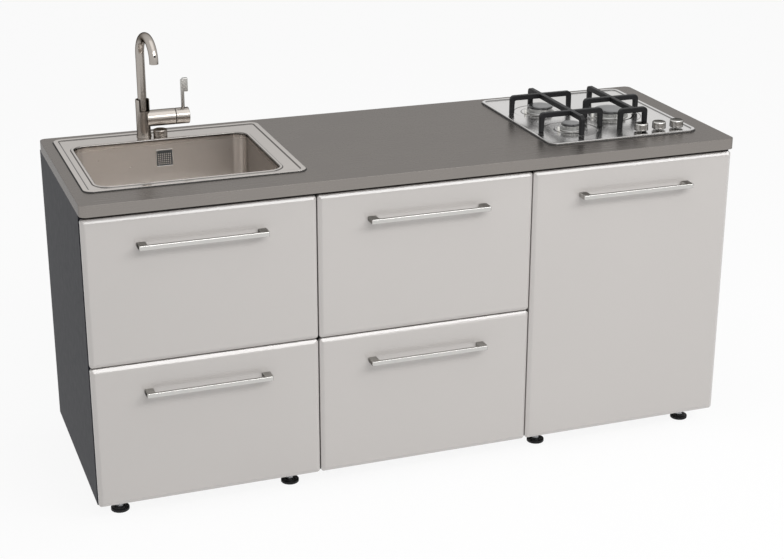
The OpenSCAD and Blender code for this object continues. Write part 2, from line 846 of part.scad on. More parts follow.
// Square slotted cover over the overflow hole
module overflow_grille() {
    grille_t = 2.5;
    slots = 4;
    slot_h = 3;
    color([0.16, 0.17, 0.17]) in_sink()
        translate([overflow_x() - overflow_w / 2, bowl_back - grille_t, -overflow_drop - overflow_w / 2])
            difference() {
                cube([overflow_w, grille_t, overflow_w]);
                for (k = [1 : slots])
                    translate([8, -over, k * overflow_w / (slots + 1) - slot_h / 2])
                        cube([overflow_w - 16, grille_t + 2 * over, slot_h]);
            }
}

// Steel waste: flange and cup, a guide for the plug, and the nut under the bowl
module sink_waste() {
    floor_t = 3;
    drains = 6;
    color([0.70, 0.69, 0.68]) in_sink() translate([bowl_mid_x, bowl_mid_y, 0]) {
        difference() {
            union() {
                translate([0, 0, bowl_floor()])
                    cylinder(r = waste_hole_r + flange_lip, h = flange_t, $fn = fine);
                translate([0, 0, pipe_top_z])
                    cylinder(r = cup_r, h = cup_h + flange_t + sink_steel, $fn = fine);
                translate([0, 0, trap_top_z]) cylinder(r = pipe_r, h = tail_h + 1, $fn = fine);
            }
            translate([0, 0, pipe_top_z + floor_t]) cylinder(r = cup_bore_r, h = cup_h + 20, $fn = fine);
            translate([0, 0, trap_top_z - over])
                cylinder(r = pipe_r - pipe_wall, h = tail_h + over, $fn = fine);
            translate([0, 0, trap_top_z])
                cylinder(r = plug_stem_r + running_clear, h = cup_h, $fn = fine);
            translate([overflow_shift, 0, overflow_run_z]) rotate([-90, 0, 0])
                cylinder(r = overflow_pipe_r - pipe_wall, h = cup_r + over, $fn = fine);
            for (k = [1 : drains]) rotate([0, 0, k * 360 / drains])
                translate([(pipe_r + plug_stem_r) / 2, 0, pipe_top_z - over])
                    cylinder(r = 3.5, h = floor_t + 2 * over, $fn = fine);
        }
        translate([0, 0, -bowl_depth - waste_nut_t])
            tube(waste_hole_r + flange_lip - 2, cup_r, waste_nut_t);
    }
}

// Plug that rises out of the cup on its stem
module waste_plug() {
    gap = 0.6;
    plug_t = 5;
    color([0.75, 0.74, 0.73]) in_sink() translate([bowl_mid_x, bowl_mid_y, bowl_floor() + flange_t]) {
        translate([0, 0, -plug_t]) cylinder(r = cup_bore_r - gap, h = plug_t, $fn = fine);
        translate([0, 0, -cup_h - plug_lift]) cylinder(r = plug_stem_r, h = cup_h + plug_lift, $fn = fine);
    }
}

// Run of the trap: down, round the bend, up and back to the wall, with a pipe radius of r
module trap_run(r, past) {
    translate([0, 0, trap_mid_z]) cylinder(r = r, h = trap_top_z - trap_mid_z + past, $fn = fine);
    translate([0, trap_bend_r, trap_mid_z]) rotate([90, 0, 90]) rotate([0, 0, 180])
        rotate_extrude(angle = 180, $fn = fine) translate([trap_bend_r, 0]) circle(r = r, $fn = fine);
    translate([0, 2 * trap_bend_r, trap_mid_z])
        cylinder(r = r, h = outlet_z - trap_mid_z - elbow_r, $fn = fine);
    translate([0, 2 * trap_bend_r + elbow_r, outlet_z - elbow_r]) rotate([90, 0, 90])
        rotate([0, 0, 90]) rotate_extrude(angle = 90, $fn = fine)
            translate([elbow_r, 0]) circle(r = r, $fn = fine);
    translate([0, 2 * trap_bend_r + elbow_r, outlet_z]) rotate([-90, 0, 0])
        cylinder(r = r, h = outlet_y - bowl_mid_y - 2 * trap_bend_r - elbow_r + past, $fn = fine);
}

// Housing behind the overflow hole and the pipe from it to the waste, thinner by "wall"
module overflow_run(wall, past) {
    pipe_y = bowl_back + sink_steel + overflow_pipe_r + 4;
    r = overflow_pipe_r - wall;
    translate([overflow_x(), bowl_back + sink_steel - past, -overflow_drop]) rotate([-90, 0, 0])
        cylinder(r = overflow_w / 2 - wall, h = 2 * overflow_pipe_r + 8 - wall + past, $fn = fine);
    translate([overflow_x(), pipe_y, overflow_run_z + overflow_bend_r])
        cylinder(r = r, h = -overflow_drop - overflow_run_z - overflow_bend_r, $fn = fine);
    translate([overflow_x(), pipe_y - overflow_bend_r, overflow_run_z + overflow_bend_r])
        rotate([90, 0, 90]) rotate([0, 0, 270]) rotate_extrude(angle = 90, $fn = fine)
            translate([overflow_bend_r, 0]) circle(r = r, $fn = fine);
    translate([overflow_x(), bowl_mid_y, overflow_run_z]) rotate([-90, 0, 0])
        cylinder(r = r, h = pipe_y - overflow_bend_r - bowl_mid_y, $fn = fine);
}

// Plastic trap with its outlet to the wall, and the pipe that comes down from the overflow
module waste_pipes() {
    color([0.90, 0.90, 0.89]) in_sink() {
        translate([bowl_mid_x, bowl_mid_y, 0]) difference() {
            trap_run(pipe_r, 0);
            trap_run(pipe_r - pipe_wall, over);
        }
        difference() {
            overflow_run(0, 0);
            overflow_run(pipe_wall, over);
            translate([bowl_mid_x, bowl_mid_y, overflow_run_z - 2 * overflow_pipe_r])
                cylinder(r = cup_r, h = 4 * overflow_pipe_r, $fn = fine);
        }
    }
}

// ------------------------------------------------------------------ tap

// Column with an open notch in front of the spout, and the mixer's barrel beside it
module tap_body() {
    spout_seat = column_h - notch_h - 12;
    notch_w = 2 * (spout_r + 1);
    color([0.60, 0.57, 0.54]) in_tap() difference() {
        union() {
            cylinder(r = column_r, h = column_h, $fn = fine);
            cylinder(r = column_foot_r, h = 3, $fn = fine);
            translate([0, 0, barrel_h]) rotate([0, 90, 0])
                cylinder(r = barrel_r, h = barrel_l, $fn = fine);
            translate([barrel_l, 0, barrel_h]) rotate([0, 90, 0])
                cylinder(r = spindle_r, h = spindle_l, $fn = fine);
        }
        translate([0, 0, spout_seat])
            cylinder(r = spout_r + running_clear, h = column_h, $fn = fine);
        rotate([0, 0, spout_turn]) translate([0, 0, column_h - notch_h])
            linear_extrude(height = notch_h + over) {
                circle(r = spout_r + 2, $fn = fine);
                translate([-notch_w / 2, -column_r - over]) square([notch_w, column_r + over]);
            }
    }
}

// Spindle of the mixer, on which the cap turns
spindle_r = 8;
spindle_l = 13;

// Threaded shank with the two water inlets and the nut under the sink
module tap_shank() {
    nut_t = 9;
    inlet_l = 14;
    color([0.76, 0.66, 0.40]) in_tap() difference() {
        union() {
            translate([0, 0, -shank_l]) cylinder(r = shank_r, h = shank_l, $fn = fine);
            translate([0, 0, -sink_steel - nut_t]) cylinder(r = shank_nut_r, h = nut_t, $fn = fine);
        }
        for (side = [-1, 1])
            translate([side * (inlet_r + 1.2), 0, -shank_l - over])
                cylinder(r = inlet_r, h = inlet_l + over, $fn = fine);
    }
}

// Tube of the spout: straight up, over the arch and down to the outlet
module spout_tube(r, past) {
    bottom = column_h - notch_h - 11;
    translate([0, 0, bottom - past]) cylinder(r = r, h = arch_h - bottom + past, $fn = fine);
    translate([0, -arch_r, arch_h]) rotate([90, 0, 90])
        rotate_extrude(angle = 180, $fn = fine) translate([arch_r, 0]) circle(r = r, $fn = fine);
    translate([0, -2 * arch_r, arch_h - outlet_drop - past])
        cylinder(r = r, h = outlet_drop + past, $fn = fine);
}

module tap_spout() {
    color([0.62, 0.59, 0.56]) in_tap() rotate([0, 0, spout_turn]) difference() {
        spout_tube(spout_r, 0);
        spout_tube(spout_r - spout_wall, over);
    }
}

// Insert with a grid of holes in the spout's outlet
module tap_aerator() {
    insert_h = 6;
    color([0.20, 0.20, 0.20]) in_tap() rotate([0, 0, spout_turn])
        translate([0, -2 * arch_r, arch_h - outlet_drop]) difference() {
            cylinder(r = spout_r - spout_wall, h = insert_h, $fn = fine);
            for (k = [1 : 6]) rotate([0, 0, 60 * k]) translate([5.5, 0, -over])
                cylinder(r = 1.5, h = insert_h + 2 * over, $fn = fine);
        }
}

// Frame of the lever: its pivot on the barrel's axis
lever_x = barrel_l + cap_gap + spindle_l + 10;
module in_lever() {
    in_tap() translate([lever_x, 0, barrel_h]) children();
}
lever_pin_r = 2;
slot_w = 2 * (lever_r + loose_clear);
slot_reach = lever_r + loose_clear + (barrel_r + 1) * tan(lever_tilt) + 0.8;

// Cap that turns on the spindle, with a slot in which the lever tilts
module lever_cap() {
    color([0.60, 0.57, 0.54]) in_lever() difference() {
        translate([-lever_x + barrel_l + cap_gap, 0, 0]) rotate([0, 90, 0])
            cylinder(r = barrel_r, h = cap_l, $fn = fine);
        translate([-lever_x + barrel_l, 0, 0]) rotate([0, 90, 0])
            cylinder(r = spindle_r + running_clear, h = spindle_l + 0.5, $fn = fine);
        translate([-lever_r - loose_clear, -slot_w / 2, 0])
            cube([lever_r + loose_clear + slot_reach, slot_w, barrel_r + over]);
        rotate([90, 0, 0]) translate([0, 0, -slot_w / 2])
            cylinder(r = lever_r + loose_clear, h = slot_w, $fn = fine);
        rotate([90, 0, 0]) translate([0, 0, -lever_pin_l() / 2 - loose_clear])
            cylinder(r = lever_pin_r + running_clear, h = lever_pin_l() + 2 * loose_clear, $fn = fine);
    }
}

function lever_pin_l() = barrel_r + 4;

// Lever: rod with a blade at its top and the pin on which it tilts
module mixer_lever() {
    color([0.70, 0.68, 0.66]) in_lever() {
        cylinder(r = lever_r, h = lever_h - 3, $fn = fine);
        rotate([90, 0, 0]) translate([0, 0, -lever_r])
            cylinder(r = lever_r, h = 2 * lever_r, $fn = fine);
        rotate([90, 0, 0]) translate([0, 0, -lever_pin_l() / 2])
            cylinder(r = lever_pin_r, h = lever_pin_l(), $fn = fine);
        translate([-lever_r, -lever_r, lever_h - blade_h]) cube([blade_w, 2 * lever_r, blade_h]);
    }
}

// Knob on the sink's ledge that lifts the plug, with its spindle through the deck
module waste_control() {
    knob_lift = 0.3;
    spindle_down = 24;
    color([0.58, 0.55, 0.52]) in_tap() translate([control_right, -control_ahead, 0]) {
        translate([0, 0, knob_lift]) cylinder(r = control_r, h = control_h, $fn = fine);
        translate([0, 0, -spindle_down])
            cylinder(r = control_spindle_r, h = spindle_down + control_h / 2, $fn = fine);
    }
}

// ------------------------------------------------------------------ hob

function knob_x(k) = knob_first_x + (k - 1) * knob_pitch;

// Pressed steel plate with a raised rim, holes for the burners, igniters and knobs
module hob_plate() {
    color([0.74, 0.72, 0.70]) in_hob() difference() {
        round_plate(hob_w, hob_d, hob_rim_h, hob_corner_r);
        translate([0, 0, hob_deck_h])
            round_plate(hob_w, hob_d, hob_rim_h, hob_corner_r, hob_rim_w);
        translate([0, 0, -over])
            round_plate(hob_w, hob_d, hob_under + over, hob_corner_r, hob_steel);
        for (b = BURNERS) {
            translate([b[0], b[1], 0])
                cylinder(r = b[2] - cup_step, h = 2 * hob_rim_h, $fn = fine);
            translate([b[0] - b[2] - igniter_reach, b[1], 0])
                cylinder(r = igniter_r, h = 2 * hob_rim_h, $fn = fine);
        }
        for (k = [1 : 3]) translate([knob_x(k), knob_y, 0])
            cylinder(r = stem_r + 1, h = 2 * hob_rim_h, $fn = fine);
    }
}

// Box of thin steel under the plate
module hob_tray() {
    wall = 1;
    inset = hob_overlap + tray_gap;
    color([0.60, 0.60, 0.60]) in_hob() difference() {
        translate([0, 0, -tray_h]) round_plate(hob_w, hob_d, tray_h + hob_under, hob_corner_r, inset);
        translate([0, 0, wall - tray_h])
            round_plate(hob_w, hob_d, tray_h + hob_under + over, hob_corner_r, inset + wall);
        translate([gas_inlet_x, gas_inlet_y, -tray_h - over])
            cylinder(r = gas_rail_r + loose_clear, h = wall + 2 * over, $fn = fine);
    }
}

// Aluminium cups with a flange and a crown above the plate
module burner_cups() {
    color([0.55, 0.55, 0.54]) in_hob() for (b = BURNERS) translate([b[0], b[1], 0]) difference() {
        union() {
            translate([0, 0, hob_deck_h - burner_cup_h])
                cylinder(r = b[2] - cup_step, h = burner_cup_h, $fn = fine);
            translate([0, 0, hob_deck_h]) cylinder(r = b[2] + flange_reach, h = 3, $fn = fine);
            translate([0, 0, hob_deck_h]) cylinder(r = b[2] - cup_step + 1, h = crown_h, $fn = fine);
        }
        translate([0, 0, hob_deck_h - burner_cup_h + 3])
            cylinder(r = b[2] - cup_step - cup_wall_t, h = burner_cup_h + crown_h, $fn = fine);
    }
}

// Enamelled caps that lie on the crowns
module burner_caps() {
    color([0.08, 0.08, 0.09]) in_hob() for (b = BURNERS)
        translate([b[0], b[1], hob_deck_h + crown_h]) {
            cylinder(r = b[2], h = cap_t - 2, $fn = fine);
            translate([0, 0, cap_t - 2]) cylinder(r1 = b[2], r2 = b[2] - 4, h = 2, $fn = fine);
            translate([0, 0, -6])
                cylinder(r = b[2] - cup_step - cup_wall_t - 1, h = 6, $fn = fine);
        }
}

// White ceramic igniter beside each burner
module igniters() {
    color([0.92, 0.91, 0.88]) in_hob() for (b = BURNERS)
        translate([b[0] - b[2] - igniter_reach, b[1], 0]) {
            translate([0, 0, -18]) cylinder(r = igniter_r, h = 18 + hob_deck_h + igniter_h - 4, $fn = fine);
            cylinder(r = 1.2, h = hob_deck_h + igniter_h, $fn = fine);
        }
}

// Straight gas pipe from one point to another along X or Y, with a round end at the first
module gas_pipe(from, to, r) {
    way = to - from;
    turn = abs(way[0]) > abs(way[1]) ? [0, sign(way[0]) * 90, 0] : [-sign(way[1]) * 90, 0, 0];
    translate(from) {
        sphere(r = r, $fn = fine);
        rotate(turn) cylinder(r = r, h = norm(way), $fn = fine);
    }
}

// Gas rail along the valves, its inlet at the back, and a pipe to each burner
module gas_manifold() {
    rail_r = gas_rail_r;
    feed_r = 4;
    valve_w = 24;
    high = -18;
    low = -34.5;
    color([0.74, 0.62, 0.36]) in_hob() difference() {
        union() {
            for (k = [1 : 3])
                translate([knob_x(k) - valve_w / 2, knob_y - valve_w / 2, valve_top - valve_h])
                    cube([valve_w, valve_w, valve_h]);
            gas_pipe([knob_x(1), knob_y, rail_z], [gas_inlet_x, knob_y, rail_z], rail_r);
            gas_pipe([gas_inlet_x, knob_y, rail_z], [gas_inlet_x, gas_inlet_y, rail_z], rail_r);
            translate([gas_inlet_x, gas_inlet_y, -tray_h - gas_inlet_l])
                cylinder(r = gas_inlet_r, h = gas_inlet_l, $fn = fine);
            translate([gas_inlet_x, gas_inlet_y, -tray_h - over])
                cylinder(r = rail_r, h = tray_h + over + rail_z, $fn = fine);
            gas_pipe([right_burner_x, knob_y, high],
                     [right_burner_x, right_burner_y - large_cap_r + cup_step, high], feed_r);
            gas_pipe([knob_x(2), rear_burner_y, high], [knob_x(2), knob_y, high], feed_r);
            gas_pipe([knob_x(2), rear_burner_y, high],
                     [left_burner_x + middle_cap_r - cup_step, rear_burner_y, high], feed_r);
            gas_pipe([knob_x(3), front_burner_y, low], [knob_x(3), knob_y, low], feed_r);
            gas_pipe([knob_x(3), front_burner_y, low], [left_burner_x, front_burner_y, low], feed_r);
            translate([left_burner_x, front_burner_y, low]) {
                sphere(r = feed_r, $fn = fine);
                cylinder(r = feed_r, h = hob_deck_h - burner_cup_h - low, $fn = fine);
            }
        }
        for (k = [1 : 3]) translate([knob_x(k), knob_y, valve_top - plug_l - plug_gap])
            cylinder(r = plug_r + running_clear, h = plug_l + plug_gap + over, $fn = fine);
    }
}

// Tapered plug inside a valve, which the knob's stem turns
module valve_plug(k) {
    color([0.80, 0.70, 0.45]) in_hob() translate([knob_x(k), knob_y, valve_top]) difference() {
        union() {
            translate([0, 0, -plug_l]) cylinder(r = plug_r, h = plug_l + plug_gap, $fn = fine);
            translate([0, 0, plug_gap]) cylinder(r = plug_r + 2, h = 2, $fn = fine);
        }
        translate([0, 0, -stem_socket])
            cylinder(r = stem_r + running_clear, h = stem_socket + 2 + plug_gap + over, $fn = fine);
    }
}
module valve_plug_1() { valve_plug(1); }
module valve_plug_2() { valve_plug(2); }
module valve_plug_3() { valve_plug(3); }

// Knob with its stem, pushed in and turned
module knob(k) {
    stem_bottom = valve_top - stem_socket + knob_push + plug_gap;
    bottom = hob_deck_h + knob_gap;
    color([0.76, 0.75, 0.73]) in_hob() translate([knob_x(k), knob_y, 0]) {
        translate([0, 0, bottom]) cylinder(r = knob_r, h = knob_h - 2, $fn = fine);
        translate([0, 0, bottom + knob_h - 2])
            cylinder(r1 = knob_r, r2 = knob_r - 2, h = 2, $fn = fine);
        translate([0, 0, stem_bottom]) cylinder(r = stem_r, h = bottom - stem_bottom + 2, $fn = fine);
    }
}
module knob_1() { knob(1); }
module knob_2() { knob(2); }
module knob_3() { knob(3); }

// Cast iron support over the two left burners
module pan_support_left() {
    top = support_h - support_foot_z;
    length = rear_burner_y - front_burner_y + 2 * left_support_end;
    color([0.13, 0.13, 0.13]) in_hob() translate([left_burner_x, 0, support_foot_z]) {
        translate([0, front_burner_y - left_support_end, 0]) bridge_y(length, top);
        for (y = [front_burner_y, rear_burner_y])
            translate([0, y, 0]) bridge_x(left_support_w, top);
    }
}

// Cast iron support over the large burner, with a short bar across its front end
module pan_support_right() {
    top = support_h - support_foot_z;
    front_y = right_burner_y - right_support_end + support_bar_w / 2;
    color([0.13, 0.13, 0.13]) in_hob() translate([right_burner_x, 0, support_foot_z]) {
        difference() {
            translate([0, right_burner_y - right_support_end, 0])
                bridge_y(2 * right_support_end, top);
            translate([-support_bar_w, front_y - support_bar_w, -over])
                cube([2 * support_bar_w, 2 * support_bar_w, top - support_bar_t + over]);
        }
        translate([0, front_y, 0]) bridge_x(right_support_front_w, top);
        translate([0, right_burner_y, 0]) bridge_x(right_support_w, top);
    }
}

// ------------------------------------------------------------------ the part

outer_sides();
inner_sides();
cabinet_bottoms();
cabinet_rails();
back_panels();
joining_bolts();
foot_bases();
foot_stems();
runner_rails();
worktop_skin();
worktop_core();
sink_deck();
sink_bowl();
sink_clips();
edge_seals();
overflow_grille();
sink_waste();
waste_pipes();
waste_plug();
waste_control();
tap_body();
tap_shank();
tap_spout();
tap_aerator();
lever_cap();
mixer_lever();
hob_plate();
hob_tray();
burner_cups();
burner_caps();
igniters();
gas_manifold();
pan_support_left();
pan_support_right();
valve_plug_1();
valve_plug_2();
valve_plug_3();
knob_1();
knob_2();
knob_3();
left_upper_front();
left_upper_handle();
left_upper_box();
left_upper_runners();
left_lower_front();
left_lower_handle();
left_lower_box();
left_lower_runners();
middle_upper_front();
middle_upper_handle();
middle_upper_box();
middle_upper_runners();
middle_lower_front();
middle_lower_handle();
middle_lower_box();
middle_lower_runners();
right_front();
right_handle();
right_boxes();
right_runners();
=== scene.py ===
"""Kitchen unit with a sink, a mixer tap and a gas hob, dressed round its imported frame."""
import json
import math

import bmesh
import bpy
from mathutils import Matrix, Vector


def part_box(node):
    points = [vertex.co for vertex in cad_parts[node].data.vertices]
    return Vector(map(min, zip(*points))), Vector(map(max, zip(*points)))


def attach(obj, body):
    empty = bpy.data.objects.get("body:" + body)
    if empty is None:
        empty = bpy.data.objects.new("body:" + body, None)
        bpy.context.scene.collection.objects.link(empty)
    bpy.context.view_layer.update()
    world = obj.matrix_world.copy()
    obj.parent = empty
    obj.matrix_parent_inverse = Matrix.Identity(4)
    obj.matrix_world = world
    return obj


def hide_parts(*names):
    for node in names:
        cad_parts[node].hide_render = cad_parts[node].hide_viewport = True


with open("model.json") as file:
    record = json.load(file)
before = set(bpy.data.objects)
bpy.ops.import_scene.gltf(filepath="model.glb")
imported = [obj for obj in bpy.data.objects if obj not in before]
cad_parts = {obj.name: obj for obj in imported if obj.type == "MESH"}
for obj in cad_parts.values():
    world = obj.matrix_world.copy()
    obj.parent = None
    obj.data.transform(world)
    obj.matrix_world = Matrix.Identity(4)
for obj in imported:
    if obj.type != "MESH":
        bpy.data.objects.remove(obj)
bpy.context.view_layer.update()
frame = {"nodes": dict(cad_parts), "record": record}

# ------------------------------------------------------------------ cabinet boards
# Sides, bottoms, rails and backs of the three cabinets: chipboard faced with melamine, sawn
# square and edge-banded. The two outer sides are dark grey, everything inside is off-white.


class Socket:
    """A node's output, on which arithmetic adds Math nodes."""

    def __init__(self, nodes, out):
        self.nodes, self.out = nodes, out

    def math(self, operation, first, second):
        return self.nodes.add("Math", {"operation": operation}, {0: first, 1: second})

    def __add__(self, other):
        return self.math("ADD", self, other)

    def __mul__(self, other):
        return self.math("MULTIPLY", self, other)

    def __sub__(self, other):
        return self.math("SUBTRACT", self, other)

    def __rsub__(self, other):
        return self.math("SUBTRACT", other, self)

    __radd__, __rmul__ = __add__, __mul__


class Nodes:
    """A node tree, to which one method adds every node."""

    def __init__(self, tree):
        self.tree = tree

    def add(self, kind, settings=None, inputs=None, out=0):
        """Adds a node. Its settings, with a ramp's stops among them, come before its sockets."""
        node = self.tree.nodes.new("ShaderNode" + kind)
        for name, value in (settings or {}).items():
            if name == "stops":
                self.set_stops(node.color_ramp.elements, value)
            else:
                setattr(node, name, value)
        for name, value in (inputs or {}).items():
            self.give(node.inputs[name], value)
        return Socket(self, node.outputs[out])

    def set_stops(self, ramp, stops):
        """Puts grey stops, each a place from 0 to 1 and a value, on a colour ramp."""
        for k, (place, value) in enumerate(stops):
            stop = ramp[k] if k < 2 else ramp.new(1)
            stop.position = place
            stop.color = (value, value, value, 1)

    def give(self, socket, value):
        """Links what varies to a socket, or sets the socket to what doesn't."""
        if isinstance(value, Socket):
            self.tree.links.new(value.out, socket)
        else:
            socket.default_value = value


class Finish(Nodes):
    """A material. Uniform values sit on its shader's sockets, and nodes feed what varies."""

    def __init__(self, name, color, rough, **uniform):
        self.material = bpy.data.materials.new(name)
        self.material.use_nodes = True
        super().__init__(self.material.node_tree)
        self.shader = self.tree.nodes["Principled BSDF"]
        self.color = color
        self.shader.inputs["Base Color"].default_value = (*color, 1)
        self.shader.inputs["Roughness"].default_value = rough
        for socket, value in uniform.items():
            self.shader.inputs[socket.replace("_", " ")].default_value = value

    def along(self, axis):
        """Place along one axis of the frame, 0 for X to 2 for Z, in metres."""
        return self.add("SeparateXYZ", {}, {0: self.add("TexCoord", out="Object")}, axis)

    def noise(self, scale, stretch=(1, 1, 1), detail=2.0):
        """Noise from 0 to 1 over the piece's own metres, finer along an axis of larger stretch."""
        place = self.add("TexCoord", out="Object")
        place = self.add("Mapping", {}, {"Vector": place, "Scale": stretch})
        return self.add("TexNoise", {}, {"Vector": place, "Scale": scale, "Detail": detail})

    def feed(self, socket, value):
        self.give(self.shader.inputs[socket], value)

    def shade(self, amount):
        """Multiplies the base colour by a value that varies over the surface."""
        tinted = self.add("VectorMath", {"operation": "SCALE"}, {0: self.color, "Scale": amount})
        self.feed("Base Color", tinted)

    def bump(self, height, depth):
        """Raises the surface by up to depth metres where height is 1."""
        bent = self.add("Bump", {}, {"Height": height, "Distance": depth, "Strength": 1.0})
        self.feed("Normal", bent)


MM = 0.001
EDGE_BAND, BAND_BLUR, BAND_SHADE = 1.0, 0.3, 0.03


def melamine(name, color, rough, banded=None):
    """Printed paper under melamine, pressed with a fine pebble. In front of the Y banded, in
    metres, the board's edge is banded in black, which also paints the shade in the seams
    between the fronts."""
    finish = Finish(name, color, rough, Specular_IOR_Level=0.2)
    pebble = finish.noise(900.0)
    tone = 0.90 + 0.12 * pebble + 0.08 * finish.noise(5.0)
    if banded is not None:
        face = {"Value": finish.along(1), "From Min": banded - BAND_BLUR * MM, "From Max": banded}
        tone = tone * finish.add("MapRange", {}, {**face, "To Min": BAND_SHADE, "To Max": 1.0})
    finish.shade(tone)
    finish.feed("Roughness", rough - 0.05 + 0.1 * finish.noise(40.0))
    finish.bump(pebble, 0.00004)
    return finish


def dress_node(finish, edge, *names):
    """Gives CAD nodes a finish and breaks their edges by edge millimetres."""
    for name in names:
        part = frame["nodes"][name]
        for held in part.material_slots:
            held.material = finish.material
        weld = part.modifiers.new("weld", "WELD")
        weld.merge_threshold = 0.01 * MM
        broken = part.modifiers.new("broken_edge", "BEVEL")
        broken.width = edge * MM
        broken.segments = 2
        broken.limit_method = "ANGLE"
        broken.angle_limit = math.radians(40)
        broken.harden_normals = True


dark_board = melamine("dark_side_board", (0.011, 0.012, 0.017), 0.6)
# Black front edges: edge banding, and painted shade in the seams between the fronts.
pale_board = melamine("pale_board", (0.72, 0.70, 0.67), 0.45,
                      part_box("inner_sides")[0][1] + EDGE_BAND * MM)
dress_node(dark_board, 0.6, "outer_sides")
dress_node(pale_board, 0.4, "inner_sides", "cabinet_bottoms", "cabinet_rails")

hardboard = Finish("back_board", (0.62, 0.60, 0.57), 0.6)
fibres = hardboard.noise(320.0, (1, 1, 0.4), 4.0)
hardboard.shade(0.88 + 0.2 * fibres)
hardboard.bump(fibres, 0.0001)
dress_node(hardboard, 0.3, "back_panels")

# ------------------------------------------------------------------ joining bolts
# Flat-headed steel bolts, bright zinc, two at the front and two at the back of each seam
# between cabinets. They are turned and plated, and pull the neighbouring sides together.


def metal(name, color, rough, scale=60.0, stretch=(1, 1, 1), spread=0.08, depth=0.000006, edge=0.3):
    """Bare or plated metal: streaks or mottle in its roughness and its surface. At a glancing
    angle its reflection darkens to the share edge: painted shade on the sides that face away."""
    finish = Finish(name, color, rough, Metallic=1.0, Specular_Tint=(edge, edge, edge, 1))
    marks = finish.noise(scale, stretch, 3.0)
    cloud = finish.noise(9.0)
    finish.feed("Roughness", rough - spread + spread * marks + spread * cloud)
    finish.shade(0.95 + 0.05 * marks + 0.05 * cloud)
    finish.bump(marks, depth)
    return finish


zinc = metal("zinc_plate", (0.66, 0.67, 0.69), 0.32)
dress_node(zinc, 0.3, "joining_bolts")

# ------------------------------------------------------------------ feet
# Eight adjustable feet: a black nylon base moulded with a stepped top, and a zinc-plated
# threaded stem with a lock nut and a plate that carries the cabinet's bottom.

NODE_BODY = {node: body for body, nodes in frame["record"]["behaviour"]["bodies"].items()
             for node in nodes}
LEFT_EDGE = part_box("worktop_skin")[0][0]
FRONT_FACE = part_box("left_upper_front")[0][1]
FOOT_X, FOOT_Y = (67, 533, 1267, 1733), (74, 546)
FOOT_R, RIM_TOP, HUB_R, HUB_TOP, PAD_SEAT = 24.5, 7.8, 18.4, 10, 4
STEM_R, STEM_TOP, PITCH, THREAD_DEPTH = 5, 65, 1.5, 0.35
NUT_R, NUT_TOP, CARRIER_R, CARRIER_LOW, CARRIER_TOP = 10, 17, 18, 46, 50
THREAD_LOW, THREAD_HIGH = NUT_TOP + 0.2, CARRIER_LOW - 0.1


def lathe(profile, turns=48, ripple=None):
    """Solid turned round Z from (radius, height) points, from the axis out and back to it.
    Two ends off the axis are joined, as on a ring. ripple(angle, height) adds to a radius."""
    verts, rows = [], []
    for radius, height in profile:
        if radius < 1e-6:
            rows.append([len(verts)] * turns)
            verts.append((0, 0, height))
            continue
        rows.append(range(len(verts), len(verts) + turns))
        for k in range(turns):
            angle = 2 * math.pi * k / turns
            far = radius + (ripple(angle, height) if ripple else 0)
            verts.append((far * math.cos(angle), far * math.sin(angle), height))
    if profile[0][0] > 0:
        rows.append(rows[0])
    faces = []
    for low, high in zip(rows, rows[1:]):
        for k in range(turns):
            m = (k + 1) % turns
            face = list(dict.fromkeys((low[k], low[m], high[m], high[k])))
            if len(face) > 2:
                faces.append(face)
    return verts, faces


def arc(x, z, r, start, end, steps):
    """Points (x, z) round a centre, from one angle in degrees to another."""
    turns = [math.radians(start + (end - start) * k / steps) for k in range(steps + 1)]
    return [(x + r * math.cos(t), z + r * math.sin(t)) for t in turns]


def moved(form, x=0, y=0, z=0, turn=None):
    """The form turned by a matrix, then moved."""
    way = Vector((x, y, z))
    return [(turn @ Vector(v) if turn else Vector(v)) + way for v in form[0]], form[1]


def joined(forms):
    verts, faces = [], []
    for more, sides in forms:
        faces += [[k + len(verts) for k in side] for side in sides]
        verts += [tuple(v) for v in more]
    return verts, faces


def unit_point(x, y, z):
    """Millimetres from the worktop's left edge, the front faces and the floor, in the frame."""
    return Vector((LEFT_EDGE + x * MM, FRONT_FACE + y * MM, z * MM))


def piece(name, form, finish, nodes=(), like=None, *, origin, sharp=35, sheet=False):
    """An object from a form in millimetres, standing for CAD nodes or riding like one."""
    mesh = bpy.data.meshes.new(name)
    mesh.from_pydata([Vector(v) * MM + Vector(origin) for v in form[0]], [], form[1])
    work = bmesh.new()
    work.from_mesh(mesh)
    bmesh.ops.remove_doubles(work, verts=work.verts, dist=1e-6)
    bmesh.ops.recalc_face_normals(work, faces=work.faces)
    if sheet and sum(f.normal.z * f.calc_area() for f in work.faces) < 0:
        bmesh.ops.reverse_faces(work, faces=work.faces)
    work.to_mesh(mesh)
    work.free()
    mesh.shade_smooth()
    mesh.set_sharp_from_angle(angle=math.radians(sharp))
    mesh.materials.append(finish.material)
    made = bpy.data.objects.new(name, mesh)
    bpy.context.scene.collection.objects.link(made)
    model = like or nodes[0]
    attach(made, NODE_BODY[model])
    if nodes:
        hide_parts(*nodes)
    return made


def at_feet(form):
    return joined([moved(form, x, y) for x in FOOT_X for y in FOOT_Y])


nylon = Finish("black_nylon", (0.008, 0.008, 0.009), 0.5, Specular_IOR_Level=0.25)
nylon.bump(nylon.noise(500.0), 0.00008)
nylon.feed("Roughness", 0.42 + 0.2 * nylon.noise(60.0))
foot_outline = [(0, 0)] + arc(FOOT_R - 1.2, 1.2, 1.2, -90, 0, 3)
foot_outline += arc(FOOT_R - 1.4, RIM_TOP - 1.4, 1.4, 0, 90, 4)
foot_outline += [(HUB_R + 0.6, RIM_TOP), (HUB_R, RIM_TOP + 0.6), (HUB_R - 0.2, HUB_TOP - 0.6),
                 (HUB_R - 0.8, HUB_TOP), (STEM_R + 0.1, HUB_TOP), (STEM_R + 0.1, PAD_SEAT),
                 (0, PAD_SEAT)]
piece("foot_pads", at_feet(lathe(foot_outline)), nylon, ["foot_bases"], origin=unit_point(0, 0, 0))


